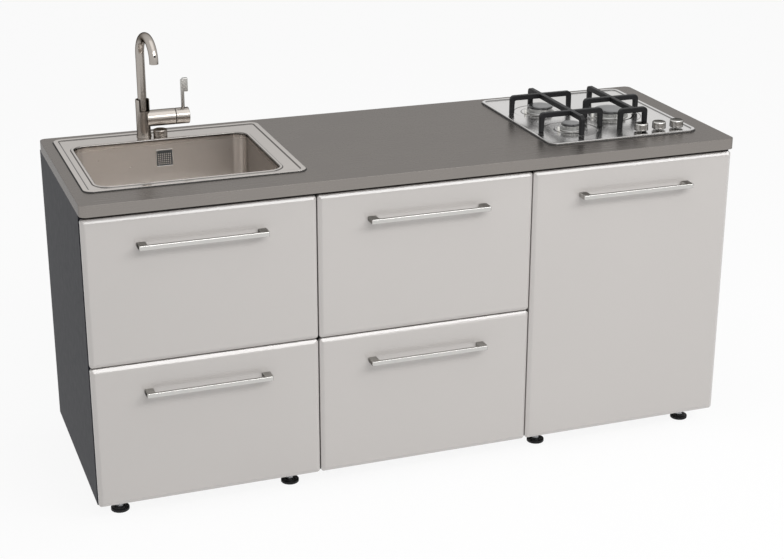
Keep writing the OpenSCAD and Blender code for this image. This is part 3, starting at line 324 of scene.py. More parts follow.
def thread(angle, height):
    """Ridge of a screw thread on the free length of a stem."""
    if not THREAD_LOW < height < THREAD_HIGH:
        return 0
    turn = (height / PITCH - angle / (2 * math.pi)) % 1
    return 2 * THREAD_DEPTH * abs(turn - 0.5) - THREAD_DEPTH


thread_step = PITCH / 6
stem_outline = [(0, PAD_SEAT), (STEM_R, PAD_SEAT), (STEM_R, THREAD_LOW)]
stem_outline += [(STEM_R, THREAD_LOW + thread_step * k)
                 for k in range(1, round((THREAD_HIGH - THREAD_LOW) / thread_step))]
stem_outline += [(STEM_R, THREAD_HIGH), (STEM_R, STEM_TOP - 0.8), (STEM_R - 0.8, STEM_TOP), (0, STEM_TOP)]
stem = lathe(stem_outline, 24, thread)
lock_nut = lathe([(0, HUB_TOP), (NUT_R - 0.8, HUB_TOP), (NUT_R, HUB_TOP + 0.6),
                  (NUT_R, NUT_TOP - 0.6), (NUT_R - 0.8, NUT_TOP), (0, NUT_TOP)], 6)
carrier = lathe([(0, CARRIER_LOW), (CARRIER_R - 0.8, CARRIER_LOW), (CARRIER_R, CARRIER_LOW + 0.8),
                 (CARRIER_R, CARRIER_TOP), (0, CARRIER_TOP)])
piece("foot_screws", at_feet(joined([stem, lock_nut, carrier])), zinc, ["foot_stems"],
      origin=unit_point(0, 0, 0))

# ------------------------------------------------------------------ runners
# Three-part ball runners of folded and plated steel strip: one member on the cabinet, one on
# the box, and one that runs between them.

strip_steel = metal("runner_strip", (0.60, 0.61, 0.63), 0.35, 40.0, (1, 0.05, 1))
dress_node(strip_steel, 0.2, "runner_rails", "left_upper_runners", "left_lower_runners",
           "middle_upper_runners", "middle_lower_runners", "right_runners")

# ------------------------------------------------------------------ drawer boxes
# Open boxes of white melamine board, dowelled at the corners, on a base that sits in a groove.
# Each hangs between its pair of runners and is screwed to its front.

box_board = melamine("drawer_board", (0.78, 0.77, 0.74), 0.4)
dress_node(box_board, 0.5, "left_upper_box", "left_lower_box", "middle_upper_box",
           "middle_lower_box", "right_boxes")

# ------------------------------------------------------------------ fronts
# Fronts of fibreboard, 18 mm thick, with a slanted facet routed round the face and a fine
# crease inside it, sprayed with a warm grey lacquer. Each is screwed to its drawer box.


def round_rect(w, h, r, inset=0.0, steps=8):
    """Outline of a rectangle from (0, 0) to (w, h) with round corners, drawn in by inset."""
    r = max(r - inset, 0.2)
    points = []
    for x, y, start in ((w - inset - r, inset + r, -90), (w - inset - r, h - inset - r, 0),
                        (inset + r, h - inset - r, 90), (inset + r, inset + r, 180)):
        points += arc(x, y, r, start, start + 90, steps)
    return points


def loft(loops, first=False, last=False):
    """Skin over loops of as many points each, with the first or last one closed if asked."""
    count = len(loops[0])
    verts = [p for loop in loops for p in loop]
    faces = []
    for k in range(len(loops) - 1):
        for a in range(count):
            b = (a + 1) % count
            faces.append([k * count + a, k * count + b, (k + 1) * count + b, (k + 1) * count + a])
    if first:
        faces.append(list(range(count))[::-1])
    if last:
        faces.append([(len(loops) - 1) * count + a for a in range(count)])
    return verts, faces


def plate(w, h, r, profile, first=True, last=True, steps=8):
    """Loft of one rounded rectangle drawn in by each (inset, height) of a profile."""
    loops = [[(x, y, z) for x, y in round_rect(w, h, r, inset, steps)] for inset, z in profile]
    return loft(loops, first, last)


def even_normals(made):
    """Keeps broad faces flat beside their rounded edges."""
    level = made.modifiers.new("even_normals", "WEIGHTED_NORMAL")
    level.keep_sharp = True
    level.weight = 80


lacquer = Finish("front_lacquer", (0.490, 0.466, 0.448), 0.34, Coat_Weight=1.0, Coat_Roughness=0.08)
lacquer.shade(0.975 + 0.03 * lacquer.noise(3.0) + 0.02 * lacquer.noise(900.0))
lacquer.feed("Roughness", 0.30 + 0.08 * lacquer.noise(25.0))
lacquer.bump(lacquer.noise(260.0), 0.00002)

FRONT_T, FRONT_R, FACET_W, FACET_T, CREASE = 18, 8, 10, 6, 0.35
FACING = Matrix.Rotation(math.pi / 2, 3, "X")
front_profile = arc(1.2, 1.2, 1.2, 270, 180, 3)
front_profile += arc(1.0, FRONT_T - FACET_T - 0.6, 1.0, 180, 125, 3)
front_profile += [(2.6, FRONT_T - FACET_T + 1.6), (FACET_W - 1.6, FRONT_T - 0.9),
                  (FACET_W, FRONT_T - CREASE), (FACET_W + 0.8, FRONT_T - CREASE),
                  (FACET_W + 1.2, FRONT_T)]
front_names = ("left_upper", "left_lower", "middle_upper", "middle_lower", "right")
for front in front_names:
    low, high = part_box(front + "_front")
    board = plate((high[0] - low[0]) / MM, (high[2] - low[2]) / MM, FRONT_R, front_profile)
    board = moved(board, turn=FACING)
    made = piece(front + "_panel", board, lacquer, [front + "_front"],
                 origin=(low[0], high[1], low[2]), sharp=18)
    even_normals(made)

# ------------------------------------------------------------------ handles
# Flat steel bars bent back at both ends to wide feet, brushed along their length and nickel
# plated. Each is held by two screws through the front.


def soften(made, width, segments=3, angle=30):
    """Rounds a piece's edges by width millimetres."""
    edge = made.modifiers.new("rounded_edge", "BEVEL")
    edge.width = width * MM
    edge.segments = segments
    edge.limit_method = "ANGLE"
    edge.angle_limit = math.radians(angle)
    even_normals(made)


def prism(outline, height):
    """Straight solid over a flat outline."""
    return loft([[(x, y, z) for x, y in outline] for z in (0, height)], True, True)


satin_nickel = metal("satin_nickel", (0.58, 0.57, 0.55), 0.20, 90.0, (0.03, 1, 1), 0.05, edge=0.05)
BAR_T, POST_W, KNEE, BEND_R = 8, 22, 3.5, 3
for front in front_names:
    low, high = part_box(front + "_handle")
    length, reach = (high[0] - low[0]) / MM, (high[1] - low[1]) / MM
    outline = arc(KNEE, KNEE, KNEE, 180, 270, 5) + arc(length - KNEE, KNEE, KNEE, -90, 0, 5)
    outline += [(length, reach), (length - POST_W, reach)]
    outline += arc(length - POST_W - BEND_R, BAR_T + BEND_R, BEND_R, 0, -90, 4)
    outline += arc(POST_W + BEND_R, BAR_T + BEND_R, BEND_R, -90, -180, 4)
    outline += [(POST_W, reach), (0, reach)]
    made = piece(front + "_pull_bar", prism(outline, (high[2] - low[2]) / MM), satin_nickel,
                 [front + "_handle"], origin=low)
    soften(made, 1.3)

# ------------------------------------------------------------------ worktop
# A sheet of satin stainless steel folded down on all four sides over a board core, with
# welded and ground corners and two cut-outs, one for the sink and one for the hob.


def filled(outer, holes, z):
    """Triangles that fill a flat outline round its holes, at one height."""
    work = bmesh.new()
    edges = []
    for loop in [outer] + holes:
        ring = [work.verts.new((x, y, z)) for x, y in loop]
        edges += [work.edges.new((a, b)) for a, b in zip(ring, ring[1:] + ring[:1])]
    bmesh.ops.triangle_fill(work, edges=edges, use_beauty=True, normal=(0, 0, 1))
    work.verts.index_update()
    form = [tuple(v.co) for v in work.verts], [[v.index for v in f.verts] for f in work.faces]
    work.free()
    return form


def shifted(loop, x, y):
    return [(a + x, b + y) for a, b in loop]


def thicken(made, thickness):
    """Gives a sheet its thickness, away from its visible side."""
    solid = made.modifiers.new("thickness", "SOLIDIFY")
    solid.thickness = thickness * MM
    solid.offset = -1


TOP_LOW, TOP_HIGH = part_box("worktop_skin")
SINK_LOW, SINK_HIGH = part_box("sink_deck")
HOB_LOW, HOB_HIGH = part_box("hob_plate")
top_w, top_d, top_h = [(b - a) / MM for a, b in zip(TOP_LOW, TOP_HIGH)]
sink_w, sink_d = [(b - a) / MM for a, b in zip(SINK_LOW, SINK_HIGH)][:2]
hob_w, hob_d = [(b - a) / MM for a, b in zip(HOB_LOW, HOB_HIGH)][:2]
TOP_R, SINK_R, HOB_R, OVERLAP, FOLD_R, SHEET_T = 18, 24, 26, 12, 1.0, 1.2


def cut_for(low, high, corner_r):
    """Outline of the cut-out under a fitting, which laps over its edges."""
    w, d = [(b - a) / MM - 2 * OVERLAP for a, b in zip(low, high)][:2]
    return shifted(round_rect(w, d, corner_r - OVERLAP), (low[0] - TOP_LOW[0]) / MM + OVERLAP,
                   (low[1] - TOP_LOW[1]) / MM + OVERLAP)


folded = plate(top_w, top_d, TOP_R, [(0, 0)] + arc(FOLD_R, top_h - FOLD_R, FOLD_R, 180, 90, 6),
               False, False)
top_face = filled(round_rect(top_w, top_d, TOP_R, FOLD_R),
                  [cut_for(SINK_LOW, SINK_HIGH, SINK_R), cut_for(HOB_LOW, HOB_HIGH, HOB_R)], top_h)


def share_of_height(finish, *stops):
    """Value from 0 to 1 that follows (millimetres over the worktop, value) stops."""
    low, high = -18, 7
    share = (finish.along(2) * 1000 - (TOP_HIGH[2] * 1000 + low)) * (1 / (high - low))
    stops = [((level - low) / (high - low), value) for level, value in stops]
    return finish.add("ValToRGB", {"stops": stops}, {0: share})


satin_steel = Finish("satin_worktop_steel", (0.275, 0.254, 0.237), 0.27, Metallic=1.0,
                     Specular_Tint=(0.5, 0.5, 0.5, 1))
brushing = satin_steel.noise(9.0, (0.12, 60, 60), 3.0)
cloud = satin_steel.noise(9.0)
# Along the top fold the steel is rougher, and its colour is darkened: painted shade that tones down the
# lamp's highlight on the fold.
fold_dull_and_shaded = share_of_height(satin_steel, (-1.1, 0), (-0.9, 1), (-0.35, 1), (-0.15, 0))
satin_steel.feed("Roughness", 0.23 + 0.04 * brushing + 0.04 * cloud + 0.25 * fold_dull_and_shaded)
satin_steel.shade(0.95 + 0.05 * brushing + 0.05 * cloud - 0.4 * fold_dull_and_shaded)
satin_steel.bump(brushing, 0.0000015)
made = piece("worktop_sheet", joined([folded, top_face]), satin_steel, ["worktop_skin"],
             origin=TOP_LOW, sheet=True)
thicken(made, SHEET_T)
even_normals(made)

core_board = Finish("core_board", (0.060, 0.045, 0.033), 0.75)
chips = core_board.noise(240.0, detail=5.0)
core_board.shade(0.7 + 0.6 * chips)
core_board.bump(chips, 0.0003)
dress_node(core_board, 0.3, "worktop_core")

# ------------------------------------------------------------------ sink
# One sheet of stainless steel, deep drawn: a raised band on the worktop, a flat deck, a ridge
# and a bowl with round corners. The flats are polished and the bowl is satin. Painted shade
# darkens the steps between the flats, and the bowl a little.

BAND_H, BAND_R, BAND_W, DECK_H, DECK_INSET = 3.6, 1.8, 12.6, 1.2, 17
BOWL_X, BOWL_Y, BOWL_W, BOWL_D, BOWL_R, CORNER_STEPS = 40, 32, 475, 382, 34, 12
RIDGE_W, RIDGE_R, WALL_LEAN, WALL_STEPS = 11, 3.4, 3, 6
FLOOR_Z, FLOOR_R, FLOOR_FALL, WASTE_R = -163.8, 20, 1.4, 45.3
WASTE_X, WASTE_Y = BOWL_X + BOWL_W / 2, BOWL_Y + BOWL_D / 2
TAP_HOLE_R, CONTROL_HOLE_R, CONTROL_RIGHT, CONTROL_BACK = 13.5, 4.2, 43, -12


def bowl_loop(grow, z):
    """Outline of the bowl grown by grow, at one height."""
    loop = round_rect(BOWL_W + 2 * grow, BOWL_D + 2 * grow, BOWL_R + grow, 0, CORNER_STEPS)
    return [(x + BOWL_X - grow, y + BOWL_Y - grow, z) for x, y in loop]


def circle(x, y, r, steps=48):
    return [(x + r * math.cos(2 * math.pi * k / steps), y + r * math.sin(2 * math.pi * k / steps))
            for k in range(steps)]


band_profile = [(0, 0.1)] + arc(BAND_R, BAND_H - BAND_R, BAND_R, 180, 90, 5)
band_profile += [(BAND_W - 0.8, BAND_H), (BAND_W, BAND_H - 0.2), (DECK_INSET - 1.2, DECK_H + 0.2),
                 (DECK_INSET, DECK_H)]
band = plate(sink_w, sink_d, SINK_R, band_profile, False, False)
ridge = [(RIDGE_W, DECK_H), (RIDGE_W - 1, DECK_H + 0.2), (RIDGE_W - 3.6, BAND_H - 0.2),
         (RIDGE_W - 4.4, BAND_H)] + arc(RIDGE_R, BAND_H - RIDGE_R, RIDGE_R, 90, 180, 7)
wall_top, wall_foot = BAND_H - RIDGE_R, FLOOR_Z + FLOOR_FALL + FLOOR_R
wall = [(-WALL_LEAN * k / WALL_STEPS, wall_top + (wall_foot - wall_top) * k / WALL_STEPS)
        for k in range(1, WALL_STEPS + 1)]
fillet = arc(-WALL_LEAN - FLOOR_R, wall_foot, FLOOR_R, 0, -90, 8)[1:]
bowl_loops = [bowl_loop(grow, z) for grow, z in ridge + wall + fillet]
rim = bowl_loops[-1]
for share in (0.25, 0.5, 0.75, 0.92, 1.0):
    loop = []
    for x, y, z in rim:
        angle = math.atan2(y - WASTE_Y, x - WASTE_X)
        hole = (WASTE_X + WASTE_R * math.cos(angle), WASTE_Y + WASTE_R * math.sin(angle), FLOOR_Z)
        loop.append(tuple(a + (b - a) * share for a, b in zip((x, y, z), hole)))
    bowl_loops.append(loop)
deck_loop = round_rect(sink_w, sink_d, SINK_R, DECK_INSET)
tap_x, tap_y = [(a + b) / 2 for a, b in zip(*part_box("tap_shank"))][:2]
TAP_X, TAP_Y = (tap_x - SINK_LOW[0]) / MM, (tap_y - SINK_LOW[1]) / MM
control_hole = circle(TAP_X + CONTROL_RIGHT, TAP_Y + CONTROL_BACK, CONTROL_HOLE_R, 24)
deck = filled(deck_loop, [[(x, y) for x, y, z in bowl_loops[0]],
                          circle(TAP_X, TAP_Y, TAP_HOLE_R), control_hole], DECK_H)
SINK_AT = Vector((SINK_LOW[0], SINK_LOW[1], TOP_HIGH[2]))

sink_steel = Finish("sink_steel", (0.74, 0.70, 0.665), 0.25, Metallic=1.0,
                    Specular_Tint=(0.5, 0.5, 0.5, 1))
# Painted shade: the colour is a little darker in the bowl, and much darker on the slopes between the
# flats, at the band's foot and at the top of the bowl's wall, where shade falls in the creases.
in_bowl = share_of_height(sink_steel, (-14, 1), (2, 0))
steps = share_of_height(sink_steel, (-6, 0), (-2, 1), (0.6, 1), (0.9, 0), (1.25, 0), (1.35, 1),
                        (3.2, 1), (3.45, 0))
wear = sink_steel.noise(70.0, detail=5.0)
sink_steel.feed("Roughness", 0.08 + 0.18 * in_bowl + 0.05 * wear)
sink_steel.shade(1.02 - 0.05 * wear - 0.08 * in_bowl - 0.78 * steps)
sink_steel.bump(sink_steel.noise(30.0, (1, 1, 12)), 0.000006)
made = piece("drawn_sink", joined([band, deck, loft(bowl_loops)]), sink_steel,
             ["sink_deck", "sink_bowl"], origin=SINK_AT, sheet=True, sharp=50)
thicken(made, SHEET_T)
even_normals(made)

# ------------------------------------------------------------------ sink's fixings
# Plated steel clips that hook under the worktop, a foam seal under the sink's band and the
# hob's rim with a black bead squeezed out of it that also stands for the shade along their
# edges, and a moulded cover, clipped on, over the overflow.

dress_node(zinc, 0.3, "sink_clips")
foam = Finish("seal_foam", (0.03, 0.03, 0.03), 0.9)
foam.bump(foam.noise(900.0, detail=4.0), 0.0002)
dress_node(foam, 0.1, "edge_seals")
# The black bead round the sink and the hob is squeezed-out seal, and it also paints the dark line of shade
# where their edges meet the worktop.
BEAD_W, BEAD_H = 2.4, 0.9
bead = [(-BEAD_W, 0), (-BEAD_W + 0.2, 0.5), (-1.2, BEAD_H), (0.3, BEAD_H), (0.3, 0), (-BEAD_W, 0)]
sink_bead = plate(sink_w, sink_d, SINK_R, bead, False, False)
hob_bead = moved(plate(hob_w, hob_d, HOB_R, bead, False, False),
                 (HOB_LOW[0] - SINK_LOW[0]) / MM, (HOB_LOW[1] - SINK_LOW[1]) / MM)
piece("seal_beads", joined([sink_bead, hob_bead]), foam, like="edge_seals", origin=SINK_AT)

cover_low, cover_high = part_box("overflow_grille")
cover_side, cover_t = (cover_high[0] - cover_low[0]) / MM, (cover_high[1] - cover_low[1]) / MM
cover_plastic = Finish("overflow_cover_plastic", (0.055, 0.058, 0.058), 0.35)
cover_plastic.bump(cover_plastic.noise(500.0), 0.00004)
cover_plastic.feed("Roughness", 0.3 + 0.12 * cover_plastic.noise(80.0))
chrome = metal("chrome", (0.78, 0.77, 0.75), 0.12, 50.0, spread=0.03)
POCKETS, POCKET_W, POCKET_FLOOR, COVER_EDGE, COVER_R, FRAME_W = 7, 3.4, 0.8, 5, 3, 2.2
pitch = (cover_side - 2 * COVER_EDGE) / POCKETS
spots = [COVER_EDGE + pitch * (k + 0.5) - POCKET_W / 2 for k in range(POCKETS)]
pockets = [shifted(round_rect(POCKET_W, POCKET_W, 0.5, steps=1), x, z) for x in spots for z in spots]
cover = [plate(cover_side, cover_side, COVER_R, [(0, 0), (0, cover_t - 0.6), (0.6, cover_t)], True, False),
         filled(round_rect(cover_side, cover_side, COVER_R, 0.6), pockets, cover_t)]
for pocket in pockets:
    cover.append(loft([[(x, y, z) for x, y in pocket] for z in (cover_t, POCKET_FLOOR)], False, True))
piece("overflow_cover", moved(joined(cover), turn=FACING), cover_plastic, ["overflow_grille"],
      origin=(cover_low[0], cover_high[1], cover_low[2]))
surround = [(0, cover_t - 1.6), (0, cover_t - 0.3), (0.3, cover_t), (FRAME_W - 0.3, cover_t),
            (FRAME_W, cover_t - 0.3), (FRAME_W, cover_t - 1.6), (0, cover_t - 1.6)]
surround = moved(plate(cover_side, cover_side, COVER_R, surround, False, False), turn=FACING)
piece("overflow_frame", surround, chrome, like="overflow_grille",
      origin=(cover_low[0], cover_high[1] - 0.3 * MM, cover_low[2]))

# ------------------------------------------------------------------ waste and plug
# A polished steel waste: a dished flange over the bowl's hole, a cup drawn up by a large nut
# from below, and a tail for the trap. The plug is a turned disc on a stem in the cup's guide.

WASTE_AT = SINK_AT + Vector((WASTE_X * MM, WASTE_Y * MM, 0))
FLANGE_R, FLANGE_TOP, MOUTH_R = 56, FLOOR_Z + 1.5, 44
CUP_R, CUP_BORE, CUP_BOTTOM, CUP_T = 44.7, 39.7, -199, 3
NUT_FACE_R, NUT_HIGH, NUT_LOW, STEM_BORE = 54, -165, -173, 4.1
TAIL_R, TAIL_BORE, TAIL_END = 20, 17.5, -213
PLUG_R, PLUG_T, PLUG_STEM_R, PLUG_STEM_END = 39.1, 5, 4, -207.2
cup_floor = CUP_BOTTOM + CUP_T
flange = [(FLANGE_R, FLOOR_Z), (FLANGE_R, FLOOR_Z + 0.4), (FLANGE_R - 1.5, FLANGE_TOP - 0.2),
          (FLANGE_R - 4, FLANGE_TOP), (MOUTH_R, FLANGE_TOP - 0.1), (MOUTH_R - 2.5, FLANGE_TOP - 0.5)]
cup = [(CUP_BORE, FLANGE_TOP - 1.6), (CUP_BORE, cup_floor), (STEM_BORE, cup_floor),
       (STEM_BORE, CUP_BOTTOM), (CUP_R - 0.5, CUP_BOTTOM), (CUP_R, CUP_BOTTOM + 1),
       (CUP_R, NUT_LOW), (NUT_FACE_R, NUT_LOW), (NUT_FACE_R, NUT_HIGH), (CUP_R, NUT_HIGH),
       (CUP_R, FLOOR_Z)]
tail = [(TAIL_BORE, TAIL_END), (TAIL_R, TAIL_END), (TAIL_R, CUP_BOTTOM + 0.2),
        (TAIL_BORE, CUP_BOTTOM + 0.2)]
waste_steel = metal("waste_steel", (0.70, 0.68, 0.66), 0.18, 40.0)
piece("waste_cup", joined([lathe(flange + cup, 64), lathe(tail)]), waste_steel, ["sink_waste"],
      origin=WASTE_AT)
plug_outline = [(0, PLUG_STEM_END), (PLUG_STEM_R, PLUG_STEM_END), (PLUG_STEM_R, FLANGE_TOP - PLUG_T),
                (PLUG_R - 1.5, FLANGE_TOP - PLUG_T), (PLUG_R, FLANGE_TOP - PLUG_T + 1.4),
                (PLUG_R, FLANGE_TOP - 1.2), (PLUG_R - 1.3, FLANGE_TOP - 0.1),
                (34, FLANGE_TOP), (30, FLANGE_TOP - 0.5), (12, FLANGE_TOP - 1.2),
                (6, FLANGE_TOP - 1.0), (5, FLANGE_TOP - 0.2), (4, FLANGE_TOP), (0, FLANGE_TOP)]
piece("turned_plug", lathe(plug_outline, 64), waste_steel, ["waste_plug"], origin=WASTE_AT)

pipe_plastic = Finish("white_pipe", (0.78, 0.78, 0.76), 0.35)
pipe_plastic.feed("Roughness", 0.3 + 0.1 * pipe_plastic.noise(50.0))
pipe_plastic.bump(pipe_plastic.noise(300.0), 0.00003)
dress_node(pipe_plastic, 0.4, "waste_pipes")

# ------------------------------------------------------------------ mixer tap
# Satin nickel on brass: a bored column with an open notch in front of the spout, a barrel with
# the mixing cartridge on its right, a cap that turns, a lever in it and a bent tube for a spout.

DECK_AT = SINK_AT + Vector((TAP_X * MM, TAP_Y * MM, DECK_H * MM))
COLUMN_R, COLUMN_H, BASE_R, BASE_H, BORE_LOW, BORE_TOP = 19, 104, 20.5, 3, 60, 120
SPOUT_R, BORE_GAP, NOTCH_H, NOTCH_HALF, NOTCH_GAP = 12, 0.06, 32, 13, 2
BARREL_R, BARREL_Z, BARREL_FOOT, BARREL_L, PIVOT_R, PIVOT_L = 22.5, 49, 8, 88, 8, 12.6
SPOUT_TURN = Matrix.Rotation(math.radians(7), 3, "Z")
ALONG_X = Matrix.Rotation(math.pi / 2, 3, "Y")


def settle(made):
    """Makes the shape that a piece's modifiers give its own mesh."""
    graph = bpy.context.evaluated_depsgraph_get()
    mesh = bpy.data.meshes.new_from_object(made.evaluated_get(graph))
    made.modifiers.clear()
    made.data = mesh


def combine(made, form, operation):
    """Cuts a closed form out of a piece, or joins it on."""
    mesh = bpy.data.meshes.new("tool")
    mesh.from_pydata([Vector(v) * MM for v in form[0]], [], form[1])
    work = bmesh.new()
    work.from_mesh(mesh)
    bmesh.ops.recalc_face_normals(work, faces=work.faces)
    work.to_mesh(mesh)
    work.free()
    tool = bpy.data.objects.new("tool", mesh)
    bpy.context.scene.collection.objects.link(tool)
    made.data.transform(Matrix.Translation(-DECK_AT))
    cut = made.modifiers.new("combine", "BOOLEAN")
    cut.operation, cut.solver, cut.object = operation, "EXACT", tool
    settle(made)
    made.data.transform(Matrix.Translation(DECK_AT))
    bpy.data.objects.remove(tool)


def smooth(made, sharp=35):
    made.data.shade_smooth()
    made.data.set_sharp_from_angle(angle=math.radians(sharp))


tap_metal = metal("satin_tap_metal", (0.40, 0.37, 0.34), 0.22, 120.0, (1, 1, 0.05), 0.05, 0.000005,
                  0.05)
column = lathe([(0, 0), (BASE_R, 0), (BASE_R, BASE_H - 0.6), (BASE_R - 0.6, BASE_H),
                (COLUMN_R, BASE_H), (COLUMN_R, COLUMN_H - 0.8), (COLUMN_R - 0.8, COLUMN_H),
                (0, COLUMN_H)], 96)
barrel = [(0, BARREL_FOOT)] + arc(BARREL_R - 3, BARREL_FOOT + 3, 3, -90, 0, 5)
barrel += [(BARREL_R, BARREL_L - 0.8), (BARREL_R - 0.8, BARREL_L), (PIVOT_R, BARREL_L),
           (PIVOT_R, BARREL_L + PIVOT_L), (0, BARREL_L + PIVOT_L)]
bore_r = SPOUT_R + BORE_GAP
bore = lathe([(0, BORE_LOW), (bore_r, BORE_LOW), (bore_r, BORE_TOP), (0, BORE_TOP)], 96)
notch = arc(0, 0, SPOUT_R + NOTCH_GAP, 0, 180, 24) + [(-NOTCH_HALF, -30), (NOTCH_HALF, -30)]
notch = loft([[(x, y, z) for x, y in notch] for z in (COLUMN_H - NOTCH_H, BORE_TOP)], True, True)
made = piece("tap_column", column, tap_metal, ["tap_body"], origin=DECK_AT)
combine(made, moved(lathe(barrel, 96), z=BARREL_Z, turn=ALONG_X), "UNION")
combine(made, bore, "DIFFERENCE")
combine(made, moved(notch, turn=SPOUT_TURN), "DIFFERENCE")
smooth(made)
soften(made, 0.5, 2)
shank_brass = metal("brass", (0.62, 0.47, 0.22), 0.3)
dress_node(shank_brass, 0.3, "tap_shank")


def swept(path, section):
    """Loops of a section carried along a path that lies in the YZ plane."""
    loops = []
    for k, (y, z) in enumerate(path):
        before, after = path[max(k - 1, 0)], path[min(k + 1, len(path) - 1)]
        way = math.atan2(after[1] - before[1], after[0] - before[0])
        loops.append([(a, y - b * math.sin(way), z + b * math.cos(way)) for a, b in section])
    return loops


ARCH_R, ARCH_Z, OUTLET_Z, SPOUT_FOOT = 57.5, 229, 225, 61
path = [(0, SPOUT_FOOT + (ARCH_Z - SPOUT_FOOT) * k / 12) for k in range(12)]
path += arc(-ARCH_R, ARCH_Z, ARCH_R, 0, 180, 40) + [(-2 * ARCH_R, OUTLET_Z)]
tube = swept(path, circle(0, 0, SPOUT_R))
mouth = [(SPOUT_R - 0.4, 0.0), (SPOUT_R - 1.2, 0.5), (SPOUT_R - 2, 1.4), (SPOUT_R - 2, 14)]
for radius, up in mouth:
    tube.append([(x, -2 * ARCH_R - y, OUTLET_Z + up) for x, y in circle(0, 0, radius)])
spout = moved(loft(tube, True, True), turn=SPOUT_TURN)
made = piece("bent_spout", spout, tap_metal, ["tap_spout"], origin=DECK_AT)

# A black screw in the spout's arch. Its matt black without shine also stands for the shade of the screw
# hole: partly painted shade.
SCREW_R, SCREW_RISE = 3, math.radians(15)
screw = lathe([(0, -1), (SCREW_R, -1), (SCREW_R, 0.3), (SCREW_R - 0.8, 0.6), (1.8, 0.35), (0, 0.35)], 24)
screw_out = ARCH_R + SPOUT_R
screw = moved(screw, y=-ARCH_R - screw_out * math.cos(SCREW_RISE),
              z=ARCH_Z + screw_out * math.sin(SCREW_RISE),
              turn=Matrix.Rotation(math.pi / 2 - SCREW_RISE, 3, "X"))
piece("spout_screw", moved(screw, turn=SPOUT_TURN), foam, like="tap_spout", origin=DECK_AT)

INSERT_R, INSERT_TOP, INSERT_FACE, GROOVE = 9.9, 6, 0.8, 0.8
insert = [(0, INSERT_FACE), (2, INSERT_FACE)]
insert += [(r, INSERT_FACE + GROOVE * (k % 2))
           for k, r in enumerate([2.6, 3.2, 4.4, 5.0, 6.2, 6.8, 8.0, 8.6])]
insert += [(INSERT_R, INSERT_FACE), (INSERT_R, INSERT_TOP), (0, INSERT_TOP)]
insert = moved(lathe(insert), y=-2 * ARCH_R, z=OUTLET_Z)
piece("aerator_insert", moved(insert, turn=SPOUT_TURN), nylon, ["tap_aerator"], origin=DECK_AT)

CAP_X, CAP_L, CAP_ROUND, PIVOT_HOLE_R, PIVOT_HOLE_L = 89.2, 38, 2, 8.06, 13.5
LEVER_X, LEVER_SLOT, LEVER_R, LEVER_FOOT, LEVER_H = 112.2, 5.3, 5, -4.5, 101.6
BLADE_W, BLADE_T, BLADE_H, BLADE_Z, BLADE_R = 15, 9.6, 38, 67, 1.4
cap_outline = [(0, PIVOT_HOLE_L), (PIVOT_HOLE_R, PIVOT_HOLE_L), (PIVOT_HOLE_R, 0),
               (BARREL_R - 0.8, 0), (BARREL_R, 0.8)]
cap_outline += arc(BARREL_R - CAP_ROUND, CAP_L - CAP_ROUND, CAP_ROUND, 0, 90, 5) + [(0, CAP_L)]
housing = moved(lathe(cap_outline, 96), CAP_X, 0, BARREL_Z, ALONG_X)
made = piece("lever_housing", housing, tap_metal, ["lever_cap"], origin=DECK_AT)
slot_left, slot_right = LEVER_X - LEVER_SLOT, LEVER_X + 12
slot_form = [(slot_left, -LEVER_SLOT), (slot_right, -LEVER_SLOT), (slot_right, LEVER_SLOT),
             (slot_left, LEVER_SLOT)]
slot_form = loft([[(x, y, z) for x, y in slot_form] for z in (BARREL_Z - 4, BARREL_Z + 30)], True, True)
combine(made, slot_form, "DIFFERENCE")
smooth(made)
soften(made, 0.5, 2)

rod = [(0, LEVER_FOOT), (LEVER_R - 0.8, LEVER_FOOT + 1.5), (LEVER_R, 0)]
rod += arc(LEVER_R - 1.6, LEVER_H - 1.6, 1.6, 0, 90, 4) + [(0, LEVER_H)]
made = piece("lever_rod", moved(lathe(rod, 40), LEVER_X, 0, BARREL_Z), satin_nickel, ["mixer_lever"],
             origin=DECK_AT)
blade_edge = arc(BLADE_R, BLADE_R, BLADE_R, 270, 180, 3)
blade_edge += arc(BLADE_R, BLADE_H - BLADE_R, BLADE_R, 180, 90, 3)
blade = plate(BLADE_W, BLADE_T, 2.2, blade_edge, steps=4)
combine(made, moved(blade, LEVER_X, -BLADE_T / 2, BARREL_Z + BLADE_Z), "UNION")
smooth(made)
even_normals(made)

KNOB_R, KNOB_FOOT, KNOB_TOP, KNOB_ROUND, SPINDLE_END = 19, 0.3, 19.3, 2.5, -24
control = [(0, SPINDLE_END), (4, SPINDLE_END), (4, KNOB_FOOT), (KNOB_R - 0.6, KNOB_FOOT),
           (KNOB_R, KNOB_FOOT + 0.6), (KNOB_R, 15)]
control += arc(KNOB_R - KNOB_ROUND, KNOB_TOP - KNOB_ROUND, KNOB_ROUND, 0, 90, 5) + [(0, KNOB_TOP)]
control = moved(lathe(control, 72), CONTROL_RIGHT, CONTROL_BACK)
piece("waste_control_knob", control, tap_metal, ["waste_control"], origin=DECK_AT)

# ------------------------------------------------------------------ hob plate and gas parts
# A pressed stainless plate with a raised rim and a shallow dish round each burner, on a box of
# thin steel that holds a brass gas rail, three valves and the pipes to the burners.

HOB_AT = Vector((HOB_LOW[0], HOB_LOW[1], TOP_HIGH[2]))
